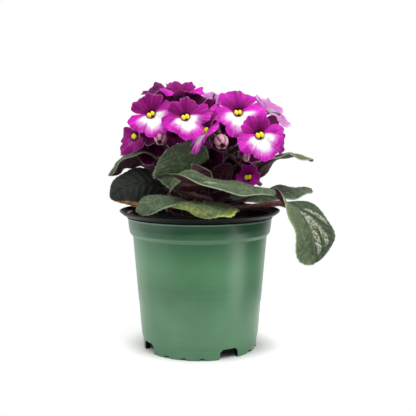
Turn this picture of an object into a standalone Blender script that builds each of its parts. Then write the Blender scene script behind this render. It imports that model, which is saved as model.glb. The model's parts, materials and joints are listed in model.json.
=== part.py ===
"""African violet in a plastic nursery pot: pot, potting mix, crown, leaves, flower stalks and blooms.

Metres, +Z up, and z = 0 is the plane that the pot's feet stand on. Places on the plant are measured from the
pot's own axis, and everything hangs on one empty, which sets the pot so that the whole plant's bounding box
is centred on the origin. Run it from Blender's text editor, or with blender --background --python part.py.
"""

import math
import random
from collections import namedtuple

import bmesh
import bpy
from mathutils import Matrix, Vector

COLLECTION_NAME = "potted_african_violet"

# Where the pot's axis stands, from the centre of the whole plant's bounding box
POT_AXIS = Vector((-0.0126, 0.0004, 0.0))

# Clear space left where two pieces touch, and between the mix and the pot
TOUCH_GAP = 0.0003

# Pot, a formed plastic shell: radii and heights of its outer skin
POT_SIDES = 40
POT_WALL = 0.0010
LIP_RADIUS = 0.0540
LIP_HEIGHT = 0.0933
LIP_EDGE = 0.0007
COLLAR_TOP_RADIUS = 0.0486
COLLAR_TOP_HEIGHT = 0.0881
COLLAR_FOOT_RADIUS = 0.0472
COLLAR_FOOT_HEIGHT = 0.0794
BEAD_RADIUS = 0.0461
BEAD_HEIGHT = 0.0773
WALL_TOP_RADIUS = 0.0453
WALL_TOP_HEIGHT = 0.0760
WALL_FOOT_RADIUS = 0.0400
WALL_FOOT_HEIGHT = 0.0110
CREASE_RADIUS = 0.0394
CREASE_HEIGHT = 0.0074
FOOT_RING_OUTER = 0.0386
FOOT_RING_INNER = 0.0352
FOOT_SLOPE = 0.0004
BASE_RADIUS = 0.0340
BASE_HEIGHT = 0.0070

# Drainage cut-outs in the foot ring: four wide ones, and three small scallops in each foot between them
NOTCH_COUNT = 4
NOTCH_FIRST_ANGLE = math.radians(-151)
NOTCH_WIDTH = 0.0150
NOTCH_HEIGHT = 0.0066
NOTCH_TAPER = 0.84
SCALLOP_ANGLES = tuple(math.radians(angle) for angle in (-123, -105.5, -88))
SCALLOP_RADIUS = 0.0032
SCALLOP_HEIGHT = 0.0017
CUTTER_DEPTH = 0.0100

# Round drainage holes through the base, in line with the wide cut-outs
DRAIN_RADIUS = 0.0045
DRAIN_CIRCLE = 0.0220

# Potting mix
MIX_SIDES = 30
MIX_TOP_HEIGHT = 0.0870
MIX_RINGS = (0.0380, 0.0270, 0.0160)
MIX_MOUND = 0.0035
MIX_LUMP = 0.0016
MIX_SEED = 11
HOLE_RADIUS = 0.0063
HOLE_DEPTH = 0.0180

# Crown, the short stem that the leaf stalks and flower stalks grow from
CROWN_CENTRE = Vector((0.004, 0.0, 0.0))
CROWN_RADIUS = 0.0090
CROWN_FOOT_HEIGHT = 0.0912
CROWN_TOP_HEIGHT = 0.1050
CROWN_SIDES = 16
LOW_WHORL = 0.0945
HIGH_WHORL = 0.1008

# Leaves
STALK_RADIUS = 0.0021
BLADE_THICKNESS = 0.0012
ACROSS = 6
RING_POINTS = 2 * (ACROSS + 1)
STALK_STATIONS = 3
BLADE_STATIONS = (0.0, 0.10, 0.24, 0.40, 0.56, 0.71, 0.84, 0.93, 0.985)
WIDEST_AT = 0.44
BASE_SHARE = 0.42
LOBE_SWEEP = 0.14
TOOTH_DEPTH = 0.035
RIB_KEEL = 0.0013
CURVE_STEPS = 14

# Blooms
PETAL_THICKNESS = 0.0006
THROAT_RADIUS = 0.0021
THROAT_DEPTH = 0.0008
TUBE_RADIUS = 0.0016
TUBE_DEPTH = 0.0034
MID_SHARE = 0.60
PETAL_COLUMNS = (-0.86, -0.36, 0.36, 0.86)
RUFFLE = 0.0009
EDGE_JITTER = 0.045
ANTHER_LENGTH = 0.0046
ANTHER_RADIUS = 0.00115
ANTHER_HEIGHT = 0.00068
ANTHER_SIDES = 5

# Flower stalks
STEM_RADIUS = 0.0014
PEDICEL_RADIUS = 0.0009
CALYX_RADIUS = 0.0018
SEPAL_LENGTH = 0.0048
SEPAL_WIDTH = 0.0017
SEPAL_THICKNESS = 0.0008
STEM_SIDES = 5

GREEN_PLASTIC = ("pot_green", (0.10, 0.27, 0.14, 1.0), 0.35)
PEAT = ("potting_mix", (0.03, 0.02, 0.015, 1.0), 0.95)
STALK_GREEN = ("stalk_green", (0.17, 0.06, 0.07, 1.0), 0.6)
LEAF_GREEN = ("leaf_green", (0.06, 0.15, 0.05, 1.0), 0.6)
PETAL_PURPLE = ("petal_purple", (0.45, 0.01, 0.38, 1.0), 0.5)
ANTHER_YELLOW = ("anther_yellow", (0.90, 0.66, 0.02, 1.0), 0.5)
BUD_PINK = ("bud_pink", (0.55, 0.20, 0.32, 1.0), 0.55)

# A leaf: where its stalk leaves the crown (degrees round from +X, and height), the points that the stalk
# passes, the points that the midrib passes from the blade's base to its tip, the way that the upper face
# looks at the base, middle and tip, the blade's width, how far its halves roll under at the base and at the
# tip (degrees, left and right as seen from the stalk with the upper face up; minus rolls up), and the height
# and number of waves along its margins. The last is its half width at the base, as a share of the greatest.
Leaf = namedtuple("Leaf", "name angle height stalk rib faces width rolls wave waves base",
                  defaults=(BASE_SHARE,))

LEAVES = (
    Leaf("leaf_01_left_low", 178, LOW_WHORL, [(-0.012, -0.006, 0.1000)],
         [(-0.022, -0.016, 0.1080), (-0.036, -0.0225, 0.1120), (-0.048, -0.0260, 0.1095), (-0.0570, -0.0270, 0.1030)],
         [(0.0, -0.75, 0.66), (-0.1, -0.78, 0.60), (-0.45, -0.72, 0.45)], 0.032, ((60, 20), (60, 24)), 0.0010, 2.5),
    Leaf("leaf_02_left_high", 163, HIGH_WHORL, [(-0.013, 0.005, 0.1080)],
         [(-0.023, 0.005, 0.1180), (-0.036, 0.002, 0.1290), (-0.050, -0.003, 0.1275), (-0.0605, -0.008, 0.1165)],
         [(0.45, 0.50, 0.72), (0.12, 0.50, 0.86), (-0.55, 0.25, 0.79)], 0.031, ((36, 6), (44, 12)), 0.0010, 3.0),
    Leaf("leaf_03_left_upright", -112, HIGH_WHORL, [(-0.003, -0.018, 0.1070)],
         [(-0.0090, -0.0275, 0.1170), (-0.0105, -0.0325, 0.1225), (-0.0135, -0.0340, 0.1290), (-0.0180, -0.0320, 0.1355)],
         [(0.05, -0.80, 0.60), (0.0, -0.95, 0.25), (-0.05, -0.92, 0.38)], 0.038, ((12, 18), (12, 18)), 0.0008, 2.5),
    Leaf("leaf_04_front_folded", -76, HIGH_WHORL, [(0.002, -0.023, 0.1030), (-0.010, -0.036, 0.1075), (-0.015, -0.046, 0.1115)],
         [(-0.0085, -0.0500, 0.1145), (0.006, -0.0525, 0.1150), (0.019, -0.0530, 0.1128), (0.032, -0.0535, 0.1108),
          (0.0455, -0.0540, 0.1085)],
         [(0.10, -0.10, 1.0), (0.05, -0.27, 0.96), (0.15, -0.26, 0.95)], 0.022, ((-60, -88), (10, 8)), 0.0008, 2.5, 0.85),
    Leaf("leaf_05_front_left_small", -140, LOW_WHORL, [(-0.007, -0.017, 0.0975), (-0.011, -0.028, 0.1005)],
         [(-0.0145, -0.0380, 0.1035), (-0.0215, -0.0490, 0.1058), (-0.029, -0.0580, 0.1034), (-0.0365, -0.0625, 0.0975)],
         [(-0.25, -0.45, 0.86), (-0.30, -0.62, 0.72), (-0.30, -0.72, 0.62)], 0.021, ((22, 22), (22, 22)), 0.0006, 2.0),
    Leaf("leaf_06_front_drooping", -92, LOW_WHORL, [(0.003, -0.022, 0.0980)],
         [(0.0030, -0.034, 0.1000), (0.0020, -0.048, 0.1015), (-0.001, -0.059, 0.1005), (-0.0060, -0.0665, 0.0970)],
         [(0.0, -0.05, 1.0), (0.0, -0.32, 0.94), (0.0, -0.70, 0.70)], 0.042, ((14, 30), (14, 34)), 0.0010, 3.0),
    Leaf("leaf_07_right_high", 12, HIGH_WHORL, [(0.021, 0.002, 0.1055)],
         [(0.031, 0.001, 0.1140), (0.046, -0.001, 0.1260), (0.060, -0.003, 0.1305), (0.0755, -0.007, 0.1265)],
         [(-0.40, 0.60, 0.70), (-0.22, 0.14, 0.96), (0.35, -0.05, 0.93)], 0.036, ((6, 22), (4, 10)), 0.0010, 3.0),
    Leaf("leaf_08_right_level", 0, LOW_WHORL, [(0.022, 0.000, 0.0970)],
         [(0.034, 0.000, 0.1005), (0.050, 0.001, 0.1035), (0.064, 0.003, 0.1050), (0.0770, 0.005, 0.1055)],
         [(0.0, -0.16, 0.98), (0.0, -0.18, 0.97), (0.05, -0.12, 0.98)], 0.028, ((-8, 8), (-10, 8)), 0.0010, 2.5),
    Leaf("leaf_09_right_hanging", -32, LOW_WHORL, [(0.022, -0.015, 0.0950), (0.036, -0.0235, 0.0975)],
         [(0.0530, -0.0335, 0.1005), (0.0615, -0.0395, 0.0970), (0.0675, -0.0440, 0.0875), (0.0700, -0.0455, 0.0760),
          (0.0710, -0.0445, 0.0640)],
         [(-0.10, 0.10, 1.0), (0.60, -0.75, 0.28), (0.52, -0.84, -0.06)], 0.049, ((10, -86), (20, -40)), 0.0012, 2.0),
    Leaf("leaf_10_back_right", 38, LOW_WHORL, [(0.019, 0.012, 0.0970)],
         [(0.029, 0.020, 0.0995), (0.041, 0.029, 0.1015), (0.052, 0.037, 0.1010), (0.0620, 0.044, 0.0970)],
         [(0.0, -0.05, 1.0), (0.0, 0.0, 1.0), (0.35, 0.30, 0.9)], 0.036, ((14, 14), (14, 14)), 0.0010, 2.5),
    Leaf("leaf_11_back", 85, LOW_WHORL, [(0.006, 0.018, 0.1000)],
         [(0.007, 0.028, 0.1060), (0.009, 0.042, 0.1110), (0.010, 0.055, 0.1080), (0.0105, 0.0665, 0.0985)],
         [(0.0, -0.2, 1.0), (0.0, 0.1, 1.0), (0.0, 0.65, 0.75)], 0.042, ((14, 14), (14, 14)), 0.0012, 3.0),
    Leaf("leaf_12_back_left", 136, LOW_WHORL, [(-0.009, 0.013, 0.0975)],
         [(-0.018, 0.022, 0.1005), (-0.030, 0.032, 0.1030), (-0.041, 0.041, 0.1010), (-0.0500, 0.048, 0.0940)],
         [(0.1, -0.1, 1.0), (0.0, 0.0, 1.0), (-0.45, 0.45, 0.8)], 0.038, ((16, 16), (16, 16)), 0.0012, 3.0),
    Leaf("leaf_13_back_high_right", 62, HIGH_WHORL, [(0.012, 0.015, 0.1080)],
         [(0.018, 0.024, 0.1180), (0.025, 0.034, 0.1290), (0.032, 0.043, 0.1355), (0.0390, 0.051, 0.1370)],
         [(-0.50, -0.60, 0.60), (-0.45, -0.60, 0.66), (-0.1, -0.1, 1.0)], 0.040, ((16, 16), (16, 16)), 0.0010, 3.0),
    Leaf("leaf_14_back_high_left", 110, HIGH_WHORL, [(-0.001, 0.016, 0.1080)],
         [(-0.005, 0.025, 0.1180), (-0.011, 0.036, 0.1290), (-0.018, 0.046, 0.1350), (-0.0260, 0.055, 0.1360)],
         [(0.30, -0.70, 0.60), (0.25, -0.70, 0.66), (0.0, 0.0, 1.0)], 0.040, ((16, 16), (16, 16)), 0.0010, 3.0),
)

# A bloom: the place of its throat, the way that it faces, how far it is turned about that (degrees), the
# length of its side petals, and how far its upper, side and lower petals lean forward (degrees).
Bloom = namedtuple("Bloom", "name centre facing turn size lean seed")

BLOOMS = (
    Bloom("01", (-0.031, -0.022, 0.1560), (-0.12, -0.88, 0.42), 22, 0.0165, (10, 20, 12), 1),
    Bloom("02", (-0.009, -0.038, 0.1540), (0.02, -0.88, 0.46), 16, 0.0155, (4, 18, 14), 2),
    Bloom("03", (-0.012, -0.004, 0.1690), (0.05, -0.42, 0.90), 0, 0.0165, (22, 16, 10), 3),
    Bloom("04", (-0.025, 0.016, 0.1695), (-0.30, 0.10, 0.95), 20, 0.0145, (20, 20, 16), 4),
    Bloom("05", (0.024, -0.028, 0.1570), (0.06, -0.88, 0.46), 6, 0.0190, (4, 26, 18), 5),
    Bloom("06", (0.045, -0.002, 0.1590), (0.62, 0.18, 0.76), -25, 0.0165, (14, 16, 10), 6),
    Bloom("07", (0.036, -0.045, 0.1430), (0.12, -0.93, 0.32), 16, 0.0155, (8, 12, 2), 7),
    Bloom("08", (0.0042, -0.040, 0.1460), (-0.75, -0.25, 0.61), 0, 0.0166, (12, 6, -6), 8),
    Bloom("09", (-0.043, -0.003, 0.1420), (-0.74, -0.60, 0.30), -24, 0.0140, (8, 12, 20), 9),
    Bloom("10", (0.031, -0.029, 0.1165), (-0.62, -0.70, 0.36), 10, 0.0100, (20, 14, 12), 10),
    Bloom("11", (0.0480, -0.012, 0.1440), (0.86, -0.42, 0.28), 0, 0.0135, (10, 14, 12), 11),
    Bloom("12", (0.008, 0.008, 0.1650), (0.20, 0.30, 0.93), 40, 0.0150, (18, 20, 16), 12),
    Bloom("13", (-0.030, 0.036, 0.1540), (-0.50, 0.75, 0.42), 10, 0.0155, (6, 18, 14), 13),
    Bloom("14", (0.000, 0.044, 0.1580), (-0.05, 0.85, 0.50), 0, 0.0165, (6, 20, 16), 14),
    Bloom("15", (0.030, 0.032, 0.1560), (0.45, 0.72, 0.52), -8, 0.0160, (6, 20, 16), 15),
    Bloom("16", (0.046, 0.024, 0.1430), (0.80, 0.52, 0.30), 0, 0.0140, (8, 16, 12), 16),
)

# Petals round a bloom, as seen from in front: direction and half angle (degrees), length beside the side
# petals, which lean it takes (0 upper, 1 side, 2 lower), and how far out the notch before it lies
PETALS = (
    (-12, 40, 1.00, 1, 0.60),
    (59, 31, 0.78, 0, 0.30),
    (121, 31, 0.78, 0, 0.60),
    (192, 40, 1.00, 1, 0.30),
    (270, 38, 1.06, 2, 0.60),
)

# Closed and opening buds: place, the way that it points, length and width
Bud = namedtuple("Bud", "name centre facing length width")

BUDS = (
    Bud("bud_01", (-0.0245, -0.028, 0.1410), (-0.10, -0.75, -0.50), 0.0085, 0.0082),
    Bud("bud_02", (0.0130, -0.045, 0.1390), (0.10, -0.75, -0.50), 0.0090, 0.0088),
    Bud("bud_03", (0.0290, -0.036, 0.1300), (-0.15, -0.50, -0.80), 0.0075, 0.0042),
)

# A spray: where its stem leaves the crown's top, the points that it passes, and the blooms and buds it bears
Spray = namedtuple("Spray", "name root stem blooms buds")

SPRAYS = (
    Spray("spray_1_front_left", (-0.0045, -0.0030), [(-0.010, -0.012, 0.1230), (-0.019, -0.012, 0.1360)],
          ("01", "02", "09"), ("bud_01",)),
    Spray("spray_2_front_right", (0.0040, -0.0045), [(0.010, -0.013, 0.1180), (0.019, -0.015, 0.1330)],
          ("05", "07", "10", "08"), ("bud_02", "bud_03")),
    Spray("spray_3_top", (-0.0030, 0.0030), [(-0.006, 0.006, 0.1270), (-0.008, 0.006, 0.1480)],
          ("03", "04", "12"), ()),
    Spray("spray_4_right", (0.0050, 0.0010), [(0.022, 0.002, 0.1220), (0.034, 0.002, 0.1380)],
          ("06", "11", "16"), ()),
    Spray("spray_5_back", (0.0010, 0.0052), [(0.003, 0.012, 0.1230), (0.002, 0.018, 0.1380)],
          ("13", "14", "15"), ()),
)


def clear_scene():
    """Removes every object, so that the script starts from nothing."""
    for obj in list(bpy.data.objects):
        bpy.data.objects.remove(obj, do_unlink=True)


def material_of(finish):
    """The material of this finish, made at its first use."""
    name, colour, roughness = finish
    material = bpy.data.materials.get(name)
    if material is None:
        material = bpy.data.materials.new(name)
        material.use_nodes = True
        shader = material.node_tree.nodes["Principled BSDF"]
        shader.inputs["Base Color"].default_value = colour
        shader.inputs["Roughness"].default_value = roughness
        shader.inputs["Metallic"].default_value = 0.0
    return material


def link(name, mesh, finish, collection):
    """A new object of this mesh in the collection, shaded smooth with its sharp edges kept."""
    obj = bpy.data.objects.new(name, mesh)
    collection.objects.link(obj)
    mesh.materials.clear()
    mesh.materials.append(material_of(finish))
    mesh.shade_smooth()
    mesh.set_sharp_from_angle(angle=math.radians(40))
    return obj


def loft_mesh(name, rings, falling):
    """Closed mesh through rings of equal length, capped at both ends, all in triangles.

    falling(band, column) says which diagonal splits a face, so that the two skins of a thin blade are split
    alike and can't cross.
    """
    body = bmesh.new()
    loops = [[body.verts.new(point) for point in ring] for ring in rings]
    count = len(rings[0])
    for band, (near, far) in enumerate(zip(loops, loops[1:])):
        for column in range(count):
            beside = (column + 1) % count
            a, b, c, d = near[column], near[beside], far[beside], far[column]
            halves = ((a, b, c), (a, c, d)) if falling(band, column) else ((a, b, d), (b, c, d))
            for half in halves:
                body.faces.new(half)
    caps = [body.faces.new(tuple(reversed(loops[0]))), body.faces.new(tuple(loops[-1]))]
    bmesh.ops.triangulate(body, faces=caps)
    bmesh.ops.recalc_face_normals(body, faces=body.faces)
    mesh = bpy.data.meshes.new(name)
    body.to_mesh(mesh)
    body.free()
    return mesh


def fuse(name, meshes, finish, collection):
    """One object from several overlapping closed meshes, by one Boolean union."""
    loose = bpy.data.collections.new(name + "_pieces")
    bpy.context.scene.collection.children.link(loose)
    obj = link(name, meshes[0], finish, collection)
    for number, mesh in enumerate(meshes[1:]):
        link(f"{name}_piece_{number}", mesh, finish, loose)
    union = obj.modifiers.new("union", "BOOLEAN")
    union.operation = "UNION"
    union.operand_type = "COLLECTION"
    union.collection = loose
    union.solver = "MANIFOLD"
    apply_modifiers(obj)
    for piece in list(loose.objects):
        bpy.data.objects.remove(piece, do_unlink=True)
    bpy.data.collections.remove(loose)
    return obj


def apply_modifiers(obj):
    """Turns what the modifiers make of an object into its mesh."""
    bpy.context.view_layer.update()
    made = obj.evaluated_get(bpy.context.evaluated_depsgraph_get())
    mesh = bpy.data.meshes.new_from_object(made)
    obj.modifiers.clear()
    obj.data = mesh


def turned(name, profile, sides, finish, collection):
    """Surface turned about Z from a profile in the XZ plane, given from its top at the rim to the axis."""
    mesh = bpy.data.meshes.new(name)
    points = [(radius, 0.0, height) for radius, height in profile]
    mesh.from_pydata(points, [(i, i + 1) for i in range(len(points) - 1)], [])
    obj = link(name, mesh, finish, collection)
    screw = obj.modifiers.new("turn", "SCREW")
    screw.steps = screw.render_steps = sides
    screw.use_merge_vertices = True
    screw.merge_threshold = 0.00001
    screw.use_smooth_shade = True
    return obj


def curve_through(points):
    """Points close together on a smooth curve through these, and the length along it at each given point."""
    points = [Vector(point) for point in points]
    ends = [2 * points[0] - points[1], *points, 2 * points[-1] - points[-2]]
    line, marks, length = [points[0]], [0.0], 0.0
    for before, here, there, after in zip(ends, ends[1:], ends[2:], ends[3:]):
        for step in range(1, CURVE_STEPS + 1):
            t = step / CURVE_STEPS
            place = 0.5 * (
                2 * here
                + (there - before) * t
                + (2 * before - 5 * here + 4 * there - after) * t * t
                + (3 * here - before - 3 * there + after) * t**3
            )
            length += (place - line[-1]).length
            line.append(place)
        marks.append(length)
    return line, marks


def along(line, distance):
    """The place and direction at this length along a line of points."""
    travelled = 0.0
    for here, there in zip(line, line[1:]):
        step = (there - here).length
        if travelled + step >= distance or there is line[-1]:
            share = (distance - travelled) / step
            return here.lerp(there, share), (there - here).normalized()
        travelled += step


def square_to(vector, direction):
    """The part of a vector at right angles to a direction, of length 1."""
    return (vector - direction * vector.dot(direction)).normalized()


def tube_rings(points, radii, sides):
    """Rings of a round stalk through these points, with its radius changing evenly from value to value."""
    line, marks = curve_through(points)
    stations = [marks[-1] * i / (len(radii) - 1) for i in range(len(radii))]
    rings, facing = [], None
    for distance, radius in zip(stations, radii):
        centre, direction = along(line, distance)
        guide = facing if facing is not None else Vector((0.31, 0.74, 0.18))
        facing = square_to(guide, direction)
        side = direction.cross(facing)
        angles = [math.tau * i / sides for i in range(sides)]
        rings.append([centre + radius * (facing * math.cos(a) + side * math.sin(a)) for a in angles])
    return rings


def blade_share(t, base):
    """Half width of a blade at t along its midrib, as a share of its greatest: heart-shaped base, round tip."""
    if t < WIDEST_AT:
        return base + (1 - base) * math.sin(math.pi / 2 * t / WIDEST_AT) ** 0.8
    return (1 - ((t - WIDEST_AT) / (1 - WIDEST_AT)) ** 2.3) ** 0.62


def face_at(faces, t):
    """The way that a blade's upper face looks at t along its midrib, between the three given."""
    base, middle, tip = (Vector(face).normalized() for face in faces)
    if t < 0.5:
        return base.lerp(middle, 2 * t)
    return middle.lerp(tip, 2 * t - 1)


def blade_ring(leaf, t, station, centre, direction, up, length):
    """The ring of points round a blade's section: its upper skin from left to right, then its lower skin."""
    right = direction.cross(up)
    tooth = 1 + TOOTH_DEPTH * (1 if station % 2 else -1)
    half = leaf.width / 2 * blade_share(t, leaf.base) * tooth
    upper, lower = [], []
    for i in range(ACROSS + 1):
        v = 2 * i / ACROSS - 1
        side = -1 if v < 0 else 1
        at_base, at_tip = (rolls[0 if v < 0 else 1] for rolls in leaf.rolls)
        roll = math.radians(at_base + (at_tip - at_base) * min(3 * t, 1.0)) or 1e-6
        bend = roll * abs(v)
        outwards = right * side
        wave = leaf.wave * math.sin(math.tau * leaf.waves * t + side) * v * v
        skin = centre + outwards * half * math.sin(bend) / roll - up * half * (1 - math.cos(bend)) / roll
        skin = skin + up * wave - direction * LOBE_SWEEP * length * v * v * (1 - t) ** 3
        normal = up * math.cos(bend) + outwards * math.sin(bend)
        keel = RIB_KEEL * (1 - t) if i == ACROSS // 2 else 0.0
        upper.append(skin + normal * BLADE_THICKNESS / 2)
        lower.append(skin - normal * (BLADE_THICKNESS / 2 + keel))
    return upper + lower[::-1]


def stalk_ring(centre, direction, up, radius):
    """The ring of points round a leaf stalk, in the same order as a blade's ring."""
    right = direction.cross(up)
    angles = [math.pi - math.pi / RING_POINTS - math.tau * i / RING_POINTS for i in range(RING_POINTS)]
    return [centre + radius * (right * math.cos(a) + up * math.sin(a)) for a in angles]


def leaf_rings(leaf):
    """Rings of a leaf from the crown along its stalk and on to the tip of its blade."""
    heading = Vector((math.cos(math.radians(leaf.angle)), math.sin(math.radians(leaf.angle)), 0.0))
    root = CROWN_CENTRE + heading * (CROWN_RADIUS + 2 * TOUCH_GAP) + Vector((0, 0, leaf.height))
    line, marks = curve_through([root, root + heading * 0.004, *leaf.stalk, *leaf.rib])
    base = marks[2 + len(leaf.stalk)]
    length = marks[-1] - base
    rings = []
    for station, t in enumerate(BLADE_STATIONS):
        centre, direction = along(line, base + length * t)
        up = square_to(face_at(leaf.faces, t), direction)
        rings.append(blade_ring(leaf, t, station, centre, direction, up, length))
    _, direction = along(line, base)
    up = square_to(face_at(leaf.faces, 0), direction)
    stalk = []
    for station in reversed(range(STALK_STATIONS)):
        centre, ahead = along(line, base * station / STALK_STATIONS)
        up = square_to(direction.rotation_difference(ahead) @ up, ahead)
        direction = ahead
        stalk.append(stalk_ring(centre, direction, up, STALK_RADIUS))
    return stalk[::-1] + rings


def make_leaf(leaf, collection):
    """One leaf with its stalk, as one solid."""
    mesh = loft_mesh(leaf.name, leaf_rings(leaf), lambda band, column: column <= ACROSS)
    return link(leaf.name, mesh, LEAF_GREEN, collection)


def bloom_axes(bloom):
    """Right, up and out of a bloom, as seen from in front."""
    out = Vector(bloom.facing).normalized()
    up = square_to(Vector((0, 0, 1)), out)
    up = Matrix.Rotation(math.radians(bloom.turn), 3, out) @ up
    return up.cross(out), up, out


def petal_columns(bloom):
    """Angle, reach and lean of each radial column of a bloom: five petals and the notches between them."""
    leans = [math.radians(lean) for lean in bloom.lean]
    columns = []
    for number, (angle, half, share, kind, notch) in enumerate(PETALS):
        before, after = PETALS[number - 1], PETALS[(number + 1) % len(PETALS)]
        notch_lean = (leans[kind] + leans[before[3]]) / 2
        columns.append((math.radians(angle - half), notch, notch_lean))
        for s in PETAL_COLUMNS:
            floor = notch if s < 0 else after[4]
            reach = floor + (share - floor) * (1 - abs(s) ** 4) ** 0.4
            columns.append((math.radians(angle + s * half), reach, leans[kind]))
    return columns


def corolla_rings(bloom):
    """Rings of a corolla: from its throat out over the front of the petals, and back behind them to its tube."""
    right, up, out = bloom_axes(bloom)
    centre = Vector(bloom.centre)
    draw = random.Random(bloom.seed)
    throat, mid, edge, mid_back, edge_back, tube = [], [], [], [], [], []
    for angle, reach, lean in petal_columns(bloom):
        ray = right * math.cos(angle) + up * math.sin(angle)
        reach = max(reach * bloom.size * (1 + draw.uniform(-EDGE_JITTER, EDGE_JITTER)), 1.5 * THROAT_RADIUS)
        ruffle = draw.uniform(-RUFFLE, RUFFLE) * (reach / bloom.size) ** 2
        along_petal = ray * math.cos(lean) + out * math.sin(lean)
        normal = out * math.cos(lean) - ray * math.sin(lean)
        start = centre + ray * THROAT_RADIUS
        middle = start + along_petal * (reach * MID_SHARE - THROAT_RADIUS * MID_SHARE)
        end = start + along_petal * (reach - THROAT_RADIUS) + normal * ruffle
        half = normal * PETAL_THICKNESS / 2
        throat.append(start - out * THROAT_DEPTH)
        mid.append(middle + half)
        edge.append(end + half)
        edge_back.append(end - half)
        mid_back.append(middle - half)
        tube.append(centre + ray * TUBE_RADIUS - out * TUBE_DEPTH)
    return [throat, mid, edge, edge_back, mid_back, tube]


def make_corolla(bloom, collection):
    """The five joined petals of a bloom and their short tube, as one solid."""
    name = "corolla_" + bloom.name
    mesh = loft_mesh(name, corolla_rings(bloom), lambda band, column: band < 3)
    return link(name, mesh, PETAL_PURPLE, collection)


def make_anthers(bloom, collection):
    """The two yellow pollen sacs in the throat of a bloom, joined side by side."""
    right, up, out = bloom_axes(bloom)
    centre = Vector(bloom.centre) + out * ANTHER_HEIGHT - up * 0.0002
    shape = ((-0.5, 0.5), (-0.25, 1.0), (0.0, 0.65), (0.25, 1.0), (0.5, 0.5))
    rings = []
    for place, swell in shape:
        angles = [math.tau * i / ANTHER_SIDES for i in range(ANTHER_SIDES)]
        middle = centre + right * ANTHER_LENGTH * place
        rings.append([middle + ANTHER_RADIUS * swell * (up * math.cos(a) + out * math.sin(a)) for a in angles])
    name = "anthers_" + bloom.name
    return link(name, loft_mesh(name, rings, lambda band, column: True), ANTHER_YELLOW, collection)


def sepal_mesh(end, out, ray):
    """One pointed sepal that spreads from the calyx at the end of a flower stalk."""
    side = out.cross(ray)
    root = end - out * 0.0008 + ray * 0.0006
    tip = end - out * 0.0012 + ray * SEPAL_LENGTH
    rings = []
    for place, width, thick in ((root, SEPAL_WIDTH, SEPAL_THICKNESS), (tip, 0.0003, 0.0003)):
        corners = ((1, 1), (-1, 1), (0, -1))
        rings.append([place + side * width / 2 * a + out * thick / 2 * b for a, b in corners])
    return loft_mesh("sepal", rings, lambda band, column: True)


def pedicel_meshes(head, end, out, right, up, calyx_radius):
    """A flower stalk from a spray's head to the back of a bloom or bud, with its calyx of five sepals."""
    reach = (end - head).length
    bend = end - out * reach * 0.35
    radii = (PEDICEL_RADIUS, PEDICEL_RADIUS, PEDICEL_RADIUS, PEDICEL_RADIUS * 1.2, calyx_radius)
    meshes = [loft_mesh("pedicel", tube_rings([head, bend, end], radii, STEM_SIDES), lambda band, column: True)]
    for number in range(5):
        angle = math.tau * (number + 0.5) / 5
        meshes.append(sepal_mesh(end, out, right * math.cos(angle) + up * math.sin(angle)))
    return meshes


def make_spray(spray, collection):
    """One stem from the crown with the flower stalks that branch from its head, as one solid."""
    root = CROWN_CENTRE + Vector((*spray.root, CROWN_TOP_HEIGHT + 2 * TOUCH_GAP))
    points = [root, root + Vector((0, 0, 0.004)), *(Vector(point) for point in spray.stem)]
    head = points[-1]
    radii = [STEM_RADIUS] * 7
    meshes = [loft_mesh("stem", tube_rings(points, radii, STEM_SIDES), lambda band, column: True)]
    below = head.lerp(points[-2], 0.12)
    for bloom in (b for b in BLOOMS if b.name in spray.blooms):
        right, up, out = bloom_axes(bloom)
        end = Vector(bloom.centre) - out * (TUBE_DEPTH + TOUCH_GAP)
        meshes += pedicel_meshes(below, end, out, right, up, CALYX_RADIUS)
    for bud in (b for b in BUDS if b.name in spray.buds):
        out = Vector(bud.facing).normalized()
        up = square_to(Vector((0, 0, 1)), out)
        end = Vector(bud.centre) - out * (bud.length / 2 + TOUCH_GAP)
        meshes += pedicel_meshes(below, end, out, up.cross(out), up, CALYX_RADIUS)
    return fuse(spray.name, meshes, STALK_GREEN, collection)


def make_bud(bud, collection):
    """A bud of folded petals: an egg shape with five soft folds."""
    out = Vector(bud.facing).normalized()
    up = square_to(Vector((0, 0, 1)), out)
    right = up.cross(out)
    rings = []
    for place, swell in ((-0.5, 0.35), (-0.3, 0.82), (-0.02, 1.0), (0.28, 0.86), (0.5, 0.40)):
        ring = []
        for i in range(10):
            angle = math.tau * i / 10
            radius = bud.width / 2 * swell * (1.0 if i % 2 else 0.84)
            ray = right * math.cos(angle) + up * math.sin(angle)
            ring.append(Vector(bud.centre) + out * bud.length * place + ray * radius)
        rings.append(ring)
    return link(bud.name, loft_mesh(bud.name, rings, lambda band, column: True), BUD_PINK, collection)


def make_crown(collection):
    """The short stem: a neck that stands in the mix, and the rounded head that everything grows from."""
    neck = HOLE_RADIUS - TOUCH_GAP
    foot = CROWN_FOOT_HEIGHT - HOLE_DEPTH + 0.001
    profile = (
        (0.0, CROWN_TOP_HEIGHT),
        (0.0070, CROWN_TOP_HEIGHT),
        (CROWN_RADIUS, CROWN_TOP_HEIGHT - 0.0020),
        (CROWN_RADIUS, CROWN_FOOT_HEIGHT + 0.0010),
        (0.0075, CROWN_FOOT_HEIGHT),
        (neck, CROWN_FOOT_HEIGHT - 0.0010),
        (neck * 0.9, foot),
        (0.0, foot),
    )
    obj = turned("crown", profile, CROWN_SIDES, STALK_GREEN, collection)
    obj.location = CROWN_CENTRE
    return obj


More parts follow.
